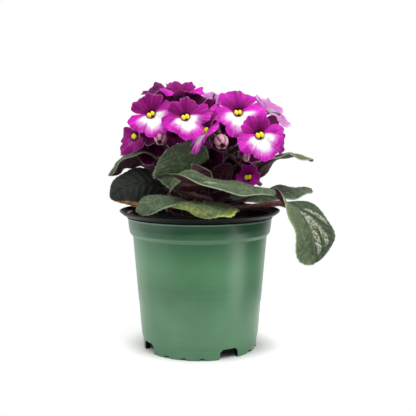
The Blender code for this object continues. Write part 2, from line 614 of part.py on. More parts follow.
def pot_profile():
    """The pot's outer skin, from the edge of its lip down to the middle of its base."""
    return (
        (LIP_RADIUS, LIP_HEIGHT),
        (LIP_RADIUS - LIP_EDGE, LIP_HEIGHT - 2 * LIP_EDGE),
        (COLLAR_TOP_RADIUS - 0.0003, COLLAR_TOP_HEIGHT + 0.0007),
        (COLLAR_TOP_RADIUS, COLLAR_TOP_HEIGHT),
        (COLLAR_FOOT_RADIUS, COLLAR_FOOT_HEIGHT),
        (BEAD_RADIUS, BEAD_HEIGHT),
        (WALL_TOP_RADIUS, WALL_TOP_HEIGHT),
        (WALL_FOOT_RADIUS, WALL_FOOT_HEIGHT),
        (CREASE_RADIUS, CREASE_HEIGHT),
        (FOOT_RING_OUTER + FOOT_SLOPE, CREASE_HEIGHT - 0.0008),
        (FOOT_RING_OUTER, 0.0),
        (FOOT_RING_INNER, 0.0),
        (BASE_RADIUS, BASE_HEIGHT),
        (0.0, BASE_HEIGHT),
    )


def notch_cutters(collection):
    """Cutters for the drainage cut-outs: tapered blocks for the wide ones, and round bars for the scallops."""
    middle = (FOOT_RING_OUTER + FOOT_RING_INNER) / 2
    for quarter in range(NOTCH_COUNT):
        turn = math.tau * quarter / NOTCH_COUNT
        body = bmesh.new()
        size = Matrix.Diagonal((CUTTER_DEPTH, NOTCH_WIDTH, 2 * NOTCH_HEIGHT, 1.0))
        bmesh.ops.create_cube(body, size=1.0, matrix=size)
        for vert in body.verts:
            if vert.co.z > 0:
                vert.co.y *= NOTCH_TAPER
        add_cutter(body, f"notch_{quarter}", turn + NOTCH_FIRST_ANGLE, middle, 0.0, collection)
        body = bmesh.new()
        bmesh.ops.create_cone(
            body, cap_ends=True, segments=10, radius1=DRAIN_RADIUS, radius2=DRAIN_RADIUS, depth=CUTTER_DEPTH
        )
        add_cutter(body, f"drain_{quarter}", turn + NOTCH_FIRST_ANGLE, DRAIN_CIRCLE, BASE_HEIGHT, collection)
        for number, angle in enumerate(SCALLOP_ANGLES):
            body = bmesh.new()
            lie = Matrix.Rotation(math.pi / 2, 4, "Y")
            bmesh.ops.create_cone(
                body, cap_ends=True, segments=8, radius1=SCALLOP_RADIUS, radius2=SCALLOP_RADIUS,
                depth=CUTTER_DEPTH, matrix=lie,
            )
            height = SCALLOP_HEIGHT - SCALLOP_RADIUS
            add_cutter(body, f"scallop_{quarter}_{number}", turn + angle, middle, height, collection)


def add_cutter(body, name, angle, radius, height, collection):
    """Puts a cutter across the foot ring at this angle."""
    mesh = bpy.data.meshes.new(name)
    body.to_mesh(mesh)
    body.free()
    cutter = bpy.data.objects.new(name, mesh)
    collection.objects.link(cutter)
    cutter.rotation_euler = (0.0, 0.0, angle)
    cutter.location = (radius * math.cos(angle), radius * math.sin(angle), height)
    cutter.hide_render = True
    cutter.display_type = "WIRE"


def make_pot(collection, cutters):
    """The pot: one formed sheet with a flared lip, a collar, a tapered wall and a notched foot ring."""
    pot = turned("pot", pot_profile(), POT_SIDES, GREEN_PLASTIC, collection)
    sheet = pot.modifiers.new("sheet", "SOLIDIFY")
    sheet.thickness = POT_WALL
    sheet.offset = -1.0
    sheet.use_even_offset = True
    notch_cutters(cutters)
    notches = pot.modifiers.new("notches", "BOOLEAN")
    notches.operation = "DIFFERENCE"
    notches.operand_type = "COLLECTION"
    notches.collection = cutters
    return pot


def wall_radius(height):
    """Radius of the pot's outer skin between the foot of its wall and the collar."""
    share = (height - WALL_FOOT_HEIGHT) / (WALL_TOP_HEIGHT - WALL_FOOT_HEIGHT)
    return WALL_FOOT_RADIUS + (WALL_TOP_RADIUS - WALL_FOOT_RADIUS) * min(max(share, 0.0), 1.0)


def make_mix(collection, cutters):
    """The potting mix: fills the pot, with a lumpy top and a plain hole for the crown's neck."""
    inside = POT_WALL + 2 * TOUCH_GAP
    floor = BASE_HEIGHT + POT_WALL + TOUCH_GAP
    levels = [
        (BASE_RADIUS - 0.001, floor),
        (WALL_FOOT_RADIUS - inside - 0.0006, WALL_FOOT_HEIGHT + 0.001),
        (wall_radius(WALL_TOP_HEIGHT) - inside, WALL_TOP_HEIGHT - 0.001),
        (wall_radius(WALL_TOP_HEIGHT) - inside, MIX_TOP_HEIGHT - 0.003),
    ]
    draw = random.Random(MIX_SEED)
    rings = []
    for radius, height in levels:
        angles = [math.tau * i / MIX_SIDES for i in range(MIX_SIDES)]
        rings.append([Vector((radius * math.cos(a), radius * math.sin(a), height)) for a in angles])
    for radius in MIX_RINGS:
        ring = []
        for i in range(MIX_SIDES):
            angle = math.tau * i / MIX_SIDES
            height = MIX_TOP_HEIGHT + MIX_MOUND * (1 - radius / MIX_RINGS[0]) + draw.uniform(-1, 1) * MIX_LUMP
            ring.append(Vector((radius * math.cos(angle), radius * math.sin(angle), height)))
        rings.append(ring)
    mix = link("potting_mix", loft_mesh("potting_mix", rings, lambda band, column: True), PEAT, collection)
    body = bmesh.new()
    bmesh.ops.create_cone(body, cap_ends=True, segments=CROWN_SIDES, radius1=HOLE_RADIUS, radius2=HOLE_RADIUS,
                          depth=2 * HOLE_DEPTH)
    add_cutter(body, "crown_hole", 0.0, CROWN_CENTRE.x, CROWN_FOOT_HEIGHT, cutters)
    hole = mix.modifiers.new("hole", "BOOLEAN")
    hole.operation = "DIFFERENCE"
    hole.object = bpy.data.objects["crown_hole"]
    return mix


def main():
    """Builds the plant and hangs it on one empty."""
    clear_scene()
    scene = bpy.context.scene.collection
    plant = bpy.data.collections.new(COLLECTION_NAME)
    pot_cutters = bpy.data.collections.new("pot_cutters")
    mix_cutters = bpy.data.collections.new("mix_cutters")
    for collection in (plant, pot_cutters, mix_cutters):
        scene.children.link(collection)
    make_pot(plant, pot_cutters)
    make_mix(plant, mix_cutters)
    make_crown(plant)
    for leaf in LEAVES:
        make_leaf(leaf, plant)
    for spray in SPRAYS:
        make_spray(spray, plant)
    for bloom in BLOOMS:
        make_corolla(bloom, plant)
        make_anthers(bloom, plant)
    for bud in BUDS:
        make_bud(bud, plant)
    axis = bpy.data.objects.new("pot_axis", None)
    plant.objects.link(axis)
    axis.location = POT_AXIS
    for obj in [*plant.objects, *pot_cutters.objects, *mix_cutters.objects]:
        if obj is not axis:
            obj.parent = axis


main()
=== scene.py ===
"""Potted african violet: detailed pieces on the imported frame, their finishes, and the stage.

Metres, +Z up. Each piece follows the form of the frame node that it stands for, at a finer mesh, and adds what
a solid leaves out: veins and quilting, scalloped margins, hairs, ruffled petals, folded buds and loose peat.
Places on the plant are measured from the pot's axis, as in the frame's own source.
"""

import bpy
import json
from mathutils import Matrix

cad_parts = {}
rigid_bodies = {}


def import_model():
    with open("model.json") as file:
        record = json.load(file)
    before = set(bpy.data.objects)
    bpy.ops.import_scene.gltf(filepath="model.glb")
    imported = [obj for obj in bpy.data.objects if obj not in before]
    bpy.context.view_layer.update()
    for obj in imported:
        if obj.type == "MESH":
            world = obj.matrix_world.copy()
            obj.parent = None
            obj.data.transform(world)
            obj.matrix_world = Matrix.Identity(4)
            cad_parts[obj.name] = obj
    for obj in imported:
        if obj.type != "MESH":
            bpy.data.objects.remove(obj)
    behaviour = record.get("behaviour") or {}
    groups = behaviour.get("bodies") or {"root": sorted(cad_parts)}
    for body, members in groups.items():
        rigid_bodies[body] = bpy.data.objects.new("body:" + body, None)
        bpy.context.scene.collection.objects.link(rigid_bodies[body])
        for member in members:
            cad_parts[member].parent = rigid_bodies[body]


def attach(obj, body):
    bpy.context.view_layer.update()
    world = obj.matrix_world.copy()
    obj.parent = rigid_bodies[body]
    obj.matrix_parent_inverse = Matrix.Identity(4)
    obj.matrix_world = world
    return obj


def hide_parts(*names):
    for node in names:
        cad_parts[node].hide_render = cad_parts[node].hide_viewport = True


bl_info = {
    "name": "Potted African Violet",
    "version": (1, 0, 0),
    "blender": (4, 5, 0),
    "location": "3D View > Sidebar > Violet",
    "description": "Dresses the packed frame of a potted african violet and sets its stage",
    "category": "Object",
}

import json
import math
import random
from collections import namedtuple

import bmesh
import bpy
import numpy as np
from bpy.props import FloatProperty, FloatVectorProperty, IntProperty, PointerProperty
from mathutils import Matrix, Vector, noise

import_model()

BODY = "root"
POT_AXIS = Vector((-0.0126, 0.0004, 0.0))
AXIS = np.array(POT_AXIS)
TOUCH_GAP = 0.0003

# Pot: radii and heights of its outer skin
POT_WALL = 0.0010
LIP_RADIUS = 0.0540
LIP_HEIGHT = 0.0933
COLLAR_TOP_RADIUS = 0.0486
COLLAR_TOP_HEIGHT = 0.0881
COLLAR_FOOT_RADIUS = 0.0472
COLLAR_FOOT_HEIGHT = 0.0794
BEAD_RADIUS = 0.0461
BEAD_HEIGHT = 0.0773
WALL_TOP_RADIUS = 0.0453
WALL_TOP_HEIGHT = 0.0760
WALL_FOOT_RADIUS = 0.0400
WALL_FOOT_HEIGHT = 0.0110
CREASE_RADIUS = 0.0394
CREASE_HEIGHT = 0.0074
FOOT_RING_OUTER = 0.0386
FOOT_RING_INNER = 0.0352
FOOT_SLOPE = 0.0004
BASE_RADIUS = 0.0340
BASE_HEIGHT = 0.0070
NOTCH_COUNT = 4
NOTCH_FIRST_ANGLE = math.radians(-151)
NOTCH_WIDTH = 0.0150
NOTCH_HEIGHT = 0.0066
NOTCH_TAPER = 0.84
SCALLOP_ANGLES = tuple(math.radians(angle) for angle in (-123, -105.5, -88))
SCALLOP_RADIUS = 0.0032
SCALLOP_HEIGHT = 0.0017
CUTTER_DEPTH = 0.0100
DRAIN_RADIUS = 0.0045
DRAIN_CIRCLE = 0.0220

# Potting mix and crown
MIX_TOP_HEIGHT = 0.0870
MIX_MOUND = 0.0035
MIX_SHOULDER = 0.0380
HOLE_RADIUS = 0.0063
HOLE_DEPTH = 0.0180
CROWN_CENTRE = Vector((0.004, 0.0, 0.0))
CROWN_RADIUS = 0.0090
CROWN_FOOT_HEIGHT = 0.0912
CROWN_TOP_HEIGHT = 0.1050
LOW_WHORL = 0.0945
HIGH_WHORL = 0.1008

# Leaves
STALK_RADIUS = 0.0021
WIDEST_AT = 0.44
BASE_SHARE = 0.42
LOBE_SWEEP = 0.14
VEIN_SLANT = 0.42
FULL_TIPS = {"leaf_09_right_hanging": 3.8}
# Painted shade laid over the upper faces of leaves that lie deep in shade
PAINTED_SHADES = {"leaf_01_left_low": 0.93}
# Painted light: one half of a leaf, on one side of its fold, painted paler as if lit
PAINTED_LIGHT_HALVES = {"leaf_09_right_hanging": 0.60}
STEEP_VEINS = {"leaf_09_right_hanging": 1.15, "leaf_03_left_upright": 0.60}
SOFT_QUILTS = {"leaf_03_left_upright": 0.50}
VEIN_BEND = 1.2
STATIONS = (0.0, 0.10, 0.24, 0.40, 0.56, 0.71, 0.84, 0.93, 1.0)

# Blooms
THROAT_RADIUS = 0.0021
THROAT_DEPTH = 0.0008
TUBE_RADIUS = 0.0016
TUBE_DEPTH = 0.0034
FRAME_PETALS = ((-12, 40), (59, 31), (121, 31), (192, 40), (270, 38))
FRAME_COLUMNS = (-1.0, -0.86, -0.36, 0.36, 0.86)
RUFFLE = 0.0009
EDGE_JITTER = 0.045
PETAL_ACROSS = 27
PETAL_ALONG = 17
ANTHER_HEIGHT = 0.00068
ANTHER_RADIUS = 0.00115

# Flower stalks
STEM_RADIUS = 0.0014
PEDICEL_RADIUS = 0.0009
CALYX_RADIUS = 0.0018
SEPAL_LENGTH = 0.0048
SEPAL_WIDTH = 0.0017
SEPAL_THICKNESS = 0.0008

# A leaf: where its stalk leaves the crown, the points of its stalk and of its midrib, the way that its upper
# face looks at base, middle and tip, its width, how far its left and right halves roll under at the base and
# at the tip, its waves, its half width at the base as a share, how pale its upper face is, and where it starts
Leaf = namedtuple("Leaf", "name angle height stalk rib faces width rolls wave waves base pale root",
                  defaults=(BASE_SHARE, 0.25, CROWN_RADIUS + 2 * TOUCH_GAP))

LEAVES = (
    # Leaf 1's low paleness and its painted shade stand for the shadow that it lies in
    Leaf("leaf_01_left_low", 178, LOW_WHORL, [(-0.012, -0.006, 0.1000)],
         [(-0.022, -0.016, 0.1080), (-0.036, -0.0225, 0.1120), (-0.048, -0.0260, 0.1095), (-0.0570, -0.0270, 0.1030)],
         [(0.0, -0.75, 0.66), (-0.1, -0.78, 0.60), (-0.45, -0.72, 0.45)], 0.032, ((60, 20), (60, 24)), 0.0010, 2.5,
         pale=-0.45),
    Leaf("leaf_02_left_high", 163, HIGH_WHORL, [(-0.013, 0.005, 0.1080)],
         [(-0.023, 0.005, 0.1180), (-0.036, 0.002, 0.1290), (-0.050, -0.003, 0.1275), (-0.0605, -0.008, 0.1165)],
         [(0.45, 0.50, 0.72), (0.12, 0.50, 0.86), (-0.55, 0.25, 0.79)], 0.031, ((36, 6), (44, 12)), 0.0010, 3.0,
         pale=0.45),
    Leaf("leaf_03_left_upright", -112, HIGH_WHORL, [(-0.003, -0.018, 0.1070)],
         [(-0.0090, -0.0275, 0.1170), (-0.0105, -0.0325, 0.1225), (-0.0135, -0.0340, 0.1290), (-0.0180, -0.0320, 0.1355)],
         [(0.05, -0.80, 0.60), (0.0, -0.95, 0.25), (-0.05, -0.92, 0.38)], 0.038, ((12, 18), (12, 18)), 0.0008, 2.5,
         pale=0.66),
    Leaf("leaf_04_front_folded", -76, HIGH_WHORL, [(0.002, -0.023, 0.1030), (-0.010, -0.036, 0.1075), (-0.015, -0.046, 0.1115)],
         [(-0.0085, -0.0500, 0.1145), (0.006, -0.0525, 0.1150), (0.019, -0.0530, 0.1128), (0.032, -0.0535, 0.1108),
          (0.0455, -0.0540, 0.1085)],
         [(0.10, -0.10, 1.0), (0.05, -0.27, 0.96), (0.15, -0.26, 0.95)], 0.022, ((-60, -96), (10, 8)), 0.0008, 2.5, 0.90,
         pale=0.60),
    Leaf("leaf_05_front_left_small", -140, LOW_WHORL, [(-0.007, -0.017, 0.0975), (-0.011, -0.028, 0.1005)],
         [(-0.0145, -0.0380, 0.1035), (-0.0215, -0.0490, 0.1058), (-0.029, -0.0580, 0.1034), (-0.0365, -0.0625, 0.0975)],
         [(-0.25, -0.45, 0.86), (-0.30, -0.62, 0.72), (-0.30, -0.72, 0.62)], 0.021, ((22, 22), (22, 22)), 0.0006, 2.0,
         pale=0.20),
    Leaf("leaf_06_front_drooping", -92, LOW_WHORL, [(0.003, -0.022, 0.0980)],
         [(0.0030, -0.034, 0.1000), (0.0015, -0.048, 0.1020), (-0.002, -0.059, 0.1017), (-0.0060, -0.0660, 0.0985)],
         [(0.0, -0.05, 1.0), (0.0, -0.32, 0.94), (0.0, -0.70, 0.70)], 0.045, ((14, 30), (14, 34)), 0.0010, 3.0,
         pale=0.22),
    Leaf("leaf_07_right_high", 12, HIGH_WHORL, [(0.021, 0.002, 0.1055)],
         [(0.031, 0.001, 0.1140), (0.046, -0.001, 0.1260), (0.060, -0.003, 0.1305), (0.0755, -0.007, 0.1265)],
         [(-0.40, 0.60, 0.70), (-0.22, 0.14, 0.96), (0.35, -0.05, 0.93)], 0.036, ((6, 22), (4, 10)), 0.0010, 3.0,
         pale=0.45),
    Leaf("leaf_08_right_level", 0, LOW_WHORL, [(0.022, 0.000, 0.0970)],
         [(0.034, 0.000, 0.1005), (0.050, 0.001, 0.1035), (0.064, 0.003, 0.1050), (0.0770, 0.005, 0.1055)],
         [(0.0, -0.16, 0.98), (0.0, -0.18, 0.97), (0.05, -0.12, 0.98)], 0.028, ((-8, 8), (-10, 8)), 0.0010, 2.5,
         pale=0.55),
    Leaf("leaf_09_right_hanging", -32, LOW_WHORL, [(0.022, -0.015, 0.0950), (0.036, -0.0235, 0.0975)],
         [(0.0530, -0.0335, 0.1005), (0.0615, -0.0395, 0.0970), (0.0675, -0.0440, 0.0875), (0.0700, -0.0455, 0.0760),
          (0.0710, -0.0445, 0.0640)],
         [(-0.10, 0.10, 1.0), (0.60, -0.75, 0.28), (0.52, -0.84, -0.06)], 0.049, ((10, -86), (20, -40)), 0.0012, 2.0,
         pale=-0.08),
    Leaf("leaf_10_back_right", 38, LOW_WHORL, [(0.019, 0.012, 0.0970)],
         [(0.029, 0.020, 0.0995), (0.041, 0.029, 0.1015), (0.052, 0.037, 0.1010), (0.0620, 0.044, 0.0970)],
         [(0.0, -0.05, 1.0), (0.0, 0.0, 1.0), (0.35, 0.30, 0.9)], 0.036, ((14, 14), (14, 14)), 0.0010, 2.5),
    Leaf("leaf_11_back", 85, LOW_WHORL, [(0.006, 0.018, 0.1000)],
         [(0.007, 0.028, 0.1060), (0.009, 0.042, 0.1110), (0.010, 0.055, 0.1080), (0.0105, 0.0665, 0.0985)],
         [(0.0, -0.2, 1.0), (0.0, 0.1, 1.0), (0.0, 0.65, 0.75)], 0.042, ((14, 14), (14, 14)), 0.0012, 3.0),
    Leaf("leaf_12_back_left", 136, LOW_WHORL, [(-0.009, 0.013, 0.0975)],
         [(-0.018, 0.022, 0.1005), (-0.030, 0.032, 0.1030), (-0.041, 0.041, 0.1010), (-0.0500, 0.048, 0.0940)],
         [(0.1, -0.1, 1.0), (0.0, 0.0, 1.0), (-0.45, 0.45, 0.8)], 0.038, ((16, 16), (16, 16)), 0.0012, 3.0),
    Leaf("leaf_13_back_high_right", 62, HIGH_WHORL, [(0.012, 0.015, 0.1080)],
         [(0.018, 0.024, 0.1180), (0.025, 0.034, 0.1290), (0.032, 0.043, 0.1355), (0.0390, 0.051, 0.1370)],
         [(-0.50, -0.60, 0.60), (-0.45, -0.60, 0.66), (-0.1, -0.1, 1.0)], 0.040, ((16, 16), (16, 16)), 0.0010, 3.0),
    Leaf("leaf_14_back_high_left", 110, HIGH_WHORL, [(-0.001, 0.016, 0.1080)],
         [(-0.005, 0.025, 0.1180), (-0.011, 0.036, 0.1290), (-0.018, 0.046, 0.1350), (-0.0260, 0.055, 0.1360)],
         [(0.30, -0.70, 0.60), (0.25, -0.70, 0.66), (0.0, 0.0, 1.0)], 0.040, ((16, 16), (16, 16)), 0.0010, 3.0),
)

# Marks on a leaf: kind (0 dead brown, 1 yellowing, 2 pale flecks of painted highlight where the hairs catch the light),
# middle across and along the blade, reach across and along, and strength
BLEMISHES = {
    "leaf_01_left_low": ((0, -0.95, 0.80, 0.30, 0.26, 1.0), (2, -0.60, 0.74, 0.36, 0.22, 0.34)),
    "leaf_03_left_upright": ((0, -0.10, 1.00, 0.50, 0.05, 0.9),),
    "leaf_04_front_folded": ((2, 0.30, 0.28, 0.34, 0.14, 0.66), (2, 0.35, 0.45, 0.30, 0.12, 0.44)),
    "leaf_06_front_drooping": ((1, -1.00, 0.50, 0.22, 0.60, 1.0), (1, 1.00, 0.50, 0.22, 0.60, 1.0),
                               (1, 0.0, 1.03, 1.60, 0.20, 1.0), (1, 0.0, 0.60, 2.2, 1.6, 0.12),
                               (2, 0.15, 0.86, 0.25, 0.06, 0.30)),
    "leaf_07_right_high": ((1, 0.9, 0.95, 0.50, 0.15, 0.4),),
    "leaf_09_right_hanging": ((0, 0.55, 0.10, 0.16, 0.05, 0.9), (2, 0.45, 0.60, 0.12, 0.20, 0.42),
                              (1, 0.95, 0.32, 0.25, 0.36, 0.38), (2, 0.70, 0.25, 0.10, 0.18, 0.38)),
}

# A bloom: the place of its throat, the way that it faces, its turn about that, the length of its side petals,
# and how far its upper, side and lower petals lean forward
Bloom = namedtuple("Bloom", "name centre facing turn size lean seed")

BLOOMS = (
    Bloom("01", (-0.031, -0.022, 0.1560), (-0.12, -0.88, 0.42), 22, 0.0165, (10, 20, 12), 1),
    Bloom("02", (-0.009, -0.038, 0.1540), (0.02, -0.88, 0.46), 16, 0.0155, (4, 18, 14), 2),
    Bloom("03", (-0.012, -0.004, 0.1690), (0.05, -0.42, 0.90), 0, 0.0165, (22, 16, 10), 3),
    Bloom("04", (-0.025, 0.016, 0.1695), (-0.30, 0.10, 0.95), 20, 0.0145, (20, 20, 16), 4),
    Bloom("05", (0.024, -0.028, 0.1570), (0.06, -0.88, 0.46), 6, 0.0190, (4, 26, 18), 5),
    Bloom("06", (0.045, -0.002, 0.1590), (0.62, 0.18, 0.76), -25, 0.0165, (14, 16, 10), 6),
    Bloom("07", (0.036, -0.045, 0.1430), (0.12, -0.93, 0.32), 16, 0.0155, (8, 12, 2), 7),
    Bloom("08", (0.0042, -0.040, 0.1460), (-0.75, -0.25, 0.61), 0, 0.0166, (12, 6, -6), 8),
    Bloom("09", (-0.043, -0.003, 0.1420), (-0.74, -0.60, 0.30), -24, 0.0140, (8, 12, 20), 9),
    Bloom("10", (0.031, -0.029, 0.1165), (-0.62, -0.70, 0.36), 10, 0.0100, (20, 14, 12), 10),
    Bloom("11", (0.0480, -0.012, 0.1440), (0.86, -0.42, 0.28), 0, 0.0135, (10, 14, 12), 11),
    Bloom("12", (0.008, 0.008, 0.1650), (0.20, 0.30, 0.93), 40, 0.0150, (18, 20, 16), 12),
    Bloom("13", (-0.030, 0.036, 0.1540), (-0.50, 0.75, 0.42), 10, 0.0155, (6, 18, 14), 13),
    Bloom("14", (0.000, 0.044, 0.1580), (-0.05, 0.85, 0.50), 0, 0.0165, (6, 20, 16), 14),
    Bloom("15", (0.030, 0.032, 0.1560), (0.45, 0.72, 0.52), -8, 0.0160, (6, 20, 16), 15),
    Bloom("16", (0.046, 0.024, 0.1430), (0.80, 0.52, 0.30), 0, 0.0140, (8, 16, 12), 16),
)

# Petals round a bloom: direction and half angle, length beside the side petals, kind (0 upper, 1 side,
# 2 lower), and how far out the notch before it lies
PETALS = (
    (-15, 38, 1.00, 1, 0.60),
    (58, 35, 0.84, 0, 0.34),
    (122, 35, 0.84, 0, 0.62),
    (195, 38, 1.00, 1, 0.34),
    (270, 38, 1.06, 2, 0.60),
)

# How much white a bloom's lower petals have, how bright its petals are, and how its petals lean in the finer
# piece where the photograph shows more than the solid does
TONES = {
    "02": (1.0, 0.9), "05": (1.0, 4.6), "07": (1.0, 2.4),
    "03": (0.0, 0.95), "04": (0.0, 0.60), "06": (1.0, 3.0), "08": (0.85, 1.6), "09": (0.20, 0.25),
    "10": (0.10, 0.80), "11": (0.10, 0.30), "12": (0.90, 2.4), "13": (0.8, 0.9), "16": (0.7, 0.9),
}
LEANS = {"03": (24, 26, 40), "04": (38, 40, 36)}
LILAC_BACKS = ("06", "12")

# How far each kind of petal's sides lie in front of its neighbours', and how far its tip curls back
LAYERS = (-0.00030, 0.00008, 0.00045)
TIP_LEAN = (0.10, 0.16, 0.10)
CURLS = (0.02, 0.05, 0.07)

# Cupped, ageing blooms deep inside the head, which belong to the sprays; their petals are painted dark as shade deep in
# the head
INNER = {
    "spray_1_front_left": (
        Bloom("i1", (-0.0290, -0.0080, 0.1440), (-0.30, -0.75, 0.35), 10, 0.0120, (48, 44, 40), 31),
        Bloom("i2", (-0.0165, -0.0190, 0.1440), (0.10, -0.90, 0.10), -30, 0.0115, (50, 46, 44), 32),
        Bloom("i21", (-0.0335, 0.0020, 0.1360), (-0.1, -0.95, 0.10), -10, 0.0130, (26, 28, 30), 51),
        Bloom("i3", (-0.0225, -0.0045, 0.1630), (-0.10, -0.70, 0.65), 15, 0.0130, (26, 34, 36), 33),
    ),
    "spray_2_front_right": (
        Bloom("i4", (0.0060, -0.0230, 0.1560), (-0.55, -0.62, 0.50), 20, 0.0130, (24, 36, 40), 34),
        Bloom("i5", (0.0150, -0.0160, 0.1430), (0.10, -0.85, 0.05), -20, 0.0130, (46, 42, 40), 35),
        Bloom("i6", (0.0300, -0.0200, 0.1360), (0.30, -0.80, -0.10), 35, 0.0125, (50, 48, 46), 36),
        Bloom("i7", (0.0080, -0.0120, 0.1300), (-0.20, -0.85, -0.20), 0, 0.0120, (52, 48, 46), 37),
        Bloom("i18", (0.0076, 0.0080, 0.1364), (0.0, -0.95, 0.20), 12, 0.0125, (20, 22, 24), 48),
        Bloom("i19", (0.0143, 0.0030, 0.1455), (-0.1, -0.95, 0.20), -12, 0.0120, (24, 26, 28), 49),
        Bloom("i20", (0.0334, 0.0040, 0.1245), (0.1, -0.95, 0.10), 25, 0.0110, (30, 30, 30), 50),
        Bloom("i14", (-0.0020, 0.0020, 0.1330), (-0.20, -0.80, 0.05), 25, 0.0130, (40, 42, 44), 44),
        Bloom("i15", (0.0200, -0.0040, 0.1215), (0.20, -0.85, 0.00), -15, 0.0115, (44, 46, 44), 45),
    ),
    "spray_3_top": (
        Bloom("i17", (-0.0169, 0.0060, 0.1665), (0.0, -0.80, 0.60), 14, 0.0125, (16, 20, 24), 47),
        Bloom("i8", (-0.0030, -0.0130, 0.1615), (0.25, -0.60, 0.75), -10, 0.0130, (22, 30, 34), 38),
        Bloom("i9", (-0.0120, 0.0140, 0.1560), (-0.20, 0.60, 0.50), 0, 0.0125, (30, 34, 34), 39),
    ),
    "spray_4_right": (
        Bloom("i10", (0.0400, -0.0180, 0.1500), (0.45, -0.60, 0.60), 12, 0.0125, (20, 34, 40), 40),
        Bloom("i11", (0.0270, 0.0080, 0.1540), (0.20, 0.10, 0.90), 0, 0.0130, (26, 30, 30), 41),
    ),
    "spray_5_back": (
        Bloom("i12", (0.0120, 0.0230, 0.1480), (0.15, 0.85, 0.25), 0, 0.0125, (44, 40, 40), 42),
        Bloom("i13", (-0.0140, 0.0240, 0.1480), (-0.25, 0.80, 0.25), 0, 0.0125, (44, 40, 40), 43),
    ),
}

Bud = namedtuple("Bud", "name centre facing length width open")

BUDS = (
    Bud("bud_01", (-0.0245, -0.028, 0.1410), (-0.10, -0.75, -0.50), 0.0085, 0.0082, True),
    Bud("bud_02", (0.0130, -0.045, 0.1390), (0.10, -0.75, -0.50), 0.0090, 0.0088, True),
    Bud("bud_03", (0.0290, -0.036, 0.1300), (-0.15, -0.50, -0.80), 0.0075, 0.0042, False),
)

Spray = namedtuple("Spray", "name root stem blooms buds")

SPRAYS = (
    Spray("spray_1_front_left", (-0.0045, -0.0030), [(-0.010, -0.012, 0.1230), (-0.019, -0.012, 0.1360)],
          ("01", "02", "09"), ("bud_01",)),
    Spray("spray_2_front_right", (0.0040, -0.0045), [(0.010, -0.013, 0.1180), (0.019, -0.015, 0.1330)],
          ("05", "07", "10", "08"), ("bud_02", "bud_03")),
    Spray("spray_3_top", (-0.0030, 0.0030), [(-0.006, 0.006, 0.1270), (-0.008, 0.006, 0.1480)],
          ("03", "04", "12"), ()),
    Spray("spray_4_right", (0.0050, 0.0010), [(0.022, 0.002, 0.1220), (0.034, 0.002, 0.1380)],
          ("06", "11", "16"), ()),
    Spray("spray_5_back", (0.0010, 0.0052), [(0.003, 0.012, 0.1230), (0.002, 0.018, 0.1380)],
          ("13", "14", "15"), ()),
)


def tint(name, colour, description):
    """A colour setting."""
    return FloatVectorProperty(name=name, description=description, subtype="COLOR", size=3, min=0.0, max=1.0,
                               default=colour)


def span(name, metres, description):
    """A length setting."""
    return FloatProperty(name=name, description=description, unit="LENGTH", min=0.0, precision=5, default=metres)


def portion(name, value, description):
    """A setting between 0 and 1."""
    return FloatProperty(name=name, description=description, subtype="FACTOR", min=0.0, max=1.0, default=value)


def count(name, number, description):
    """A setting that counts things."""
    return IntProperty(name=name, description=description, min=1, default=number)


class PotSettings(bpy.types.PropertyGroup):
    """Sizes and colours of the nursery pot."""

    sides: count("Sides", 160, "Facets round the pot")
    edge: span("Edge line", 0.00035, "How far the collar's top edge stands out as a thin line")
    wall_colour: tint("Wall", (0.060, 0.168, 0.080), "Green plastic of the wall and collar")
    # Painted shade: the wall is a deeper green near its top, under the collar
    top_shade_colour: tint("Wall near its top", (0.053, 0.164, 0.077), "Deeper green where no dust lies")
    # The collar's colour is a painted shadow of the overhanging lip
    collar_shadow_colour: tint("Collar", (0.018, 0.082, 0.036), "Darkest green of the thick collar")
    # The worn edge colour also paints a highlight along the collar's top edge and the bead; the mould rings use it too
    line_and_highlight_colour: tint("Worn edge", (0.29, 0.47, 0.33), "Lighter green where edges are thin or rubbed")
    lip_colour: tint("Lip and inside", (0.004, 0.005, 0.0045), "Black plastic of the lip and the inside")
    gloss: portion("Roughness", 0.30, "Roughness of the green plastic")


class MixSettings(bpy.types.PropertyGroup):
    """Sizes and colours of the potting mix."""

    grains: count("Crumbs", 1100, "Loose crumbs of peat on top")
    grain_size: span("Crumb size", 0.0011, "Middle size of a crumb")
    peat_colour: tint("Peat", (0.016, 0.010, 0.009), "Moist dark peat")
    bit_colour: tint("Bark bits", (0.52, 0.31, 0.26), "The few light bits of bark")


class LeafSettings(bpy.types.PropertyGroup):
    """Sizes and colours of the leaves and their hairs."""

    thickness: span("Blade thickness", 0.0010, "Thickness of a blade between its veins")
    quilting: span("Quilting", 0.00075, "How far the blade swells between its side veins")
    vein_pairs: count("Side veins", 7, "Pairs of side veins along a blade")
    teeth: count("Teeth", 15, "Rounded teeth along each margin")
    tooth_depth: portion("Tooth depth", 0.045, "Depth of the teeth as a share of the half width")
    hairs: count("Hairs", 2200, "Hairs on each leaf")
    hair_length: span("Hair length", 0.0010, "Middle length of a hair")
    dark_colour: tint("Dark green", (0.018, 0.036, 0.016), "Upper face in its deepest places")
    light_colour: tint("Light green", (0.116, 0.168, 0.080), "Upper face in its palest places")
    # Also a painted sheen: the pale line along the margin stands for the hairs that catch the light there; the pale
    # veins use it too
    vein_and_rim_sheen_colour: tint("Margin", (0.36, 0.44, 0.28), "The pale line along the margin")
    # Painted highlight: flecks where the hairs catch the light
    highlight_fleck_colour: tint("Pale flecks", (0.50, 0.50, 0.38), "Flecks where the hairs catch the light")
    yellow_colour: tint("Yellowing", (0.36, 0.42, 0.060), "An ageing leaf's yellow margin")
    dead_colour: tint("Dead patch", (0.58, 0.27, 0.11), "Brown dead patches at a margin")
    under_colour: tint("Under face", (0.052, 0.006, 0.018), "Maroon under face")
    under_light: tint("Under veins", (0.105, 0.026, 0.040), "Veins of the under face")
    hair_colour: tint("Hairs", (0.40, 0.44, 0.31), "Pale hairs")


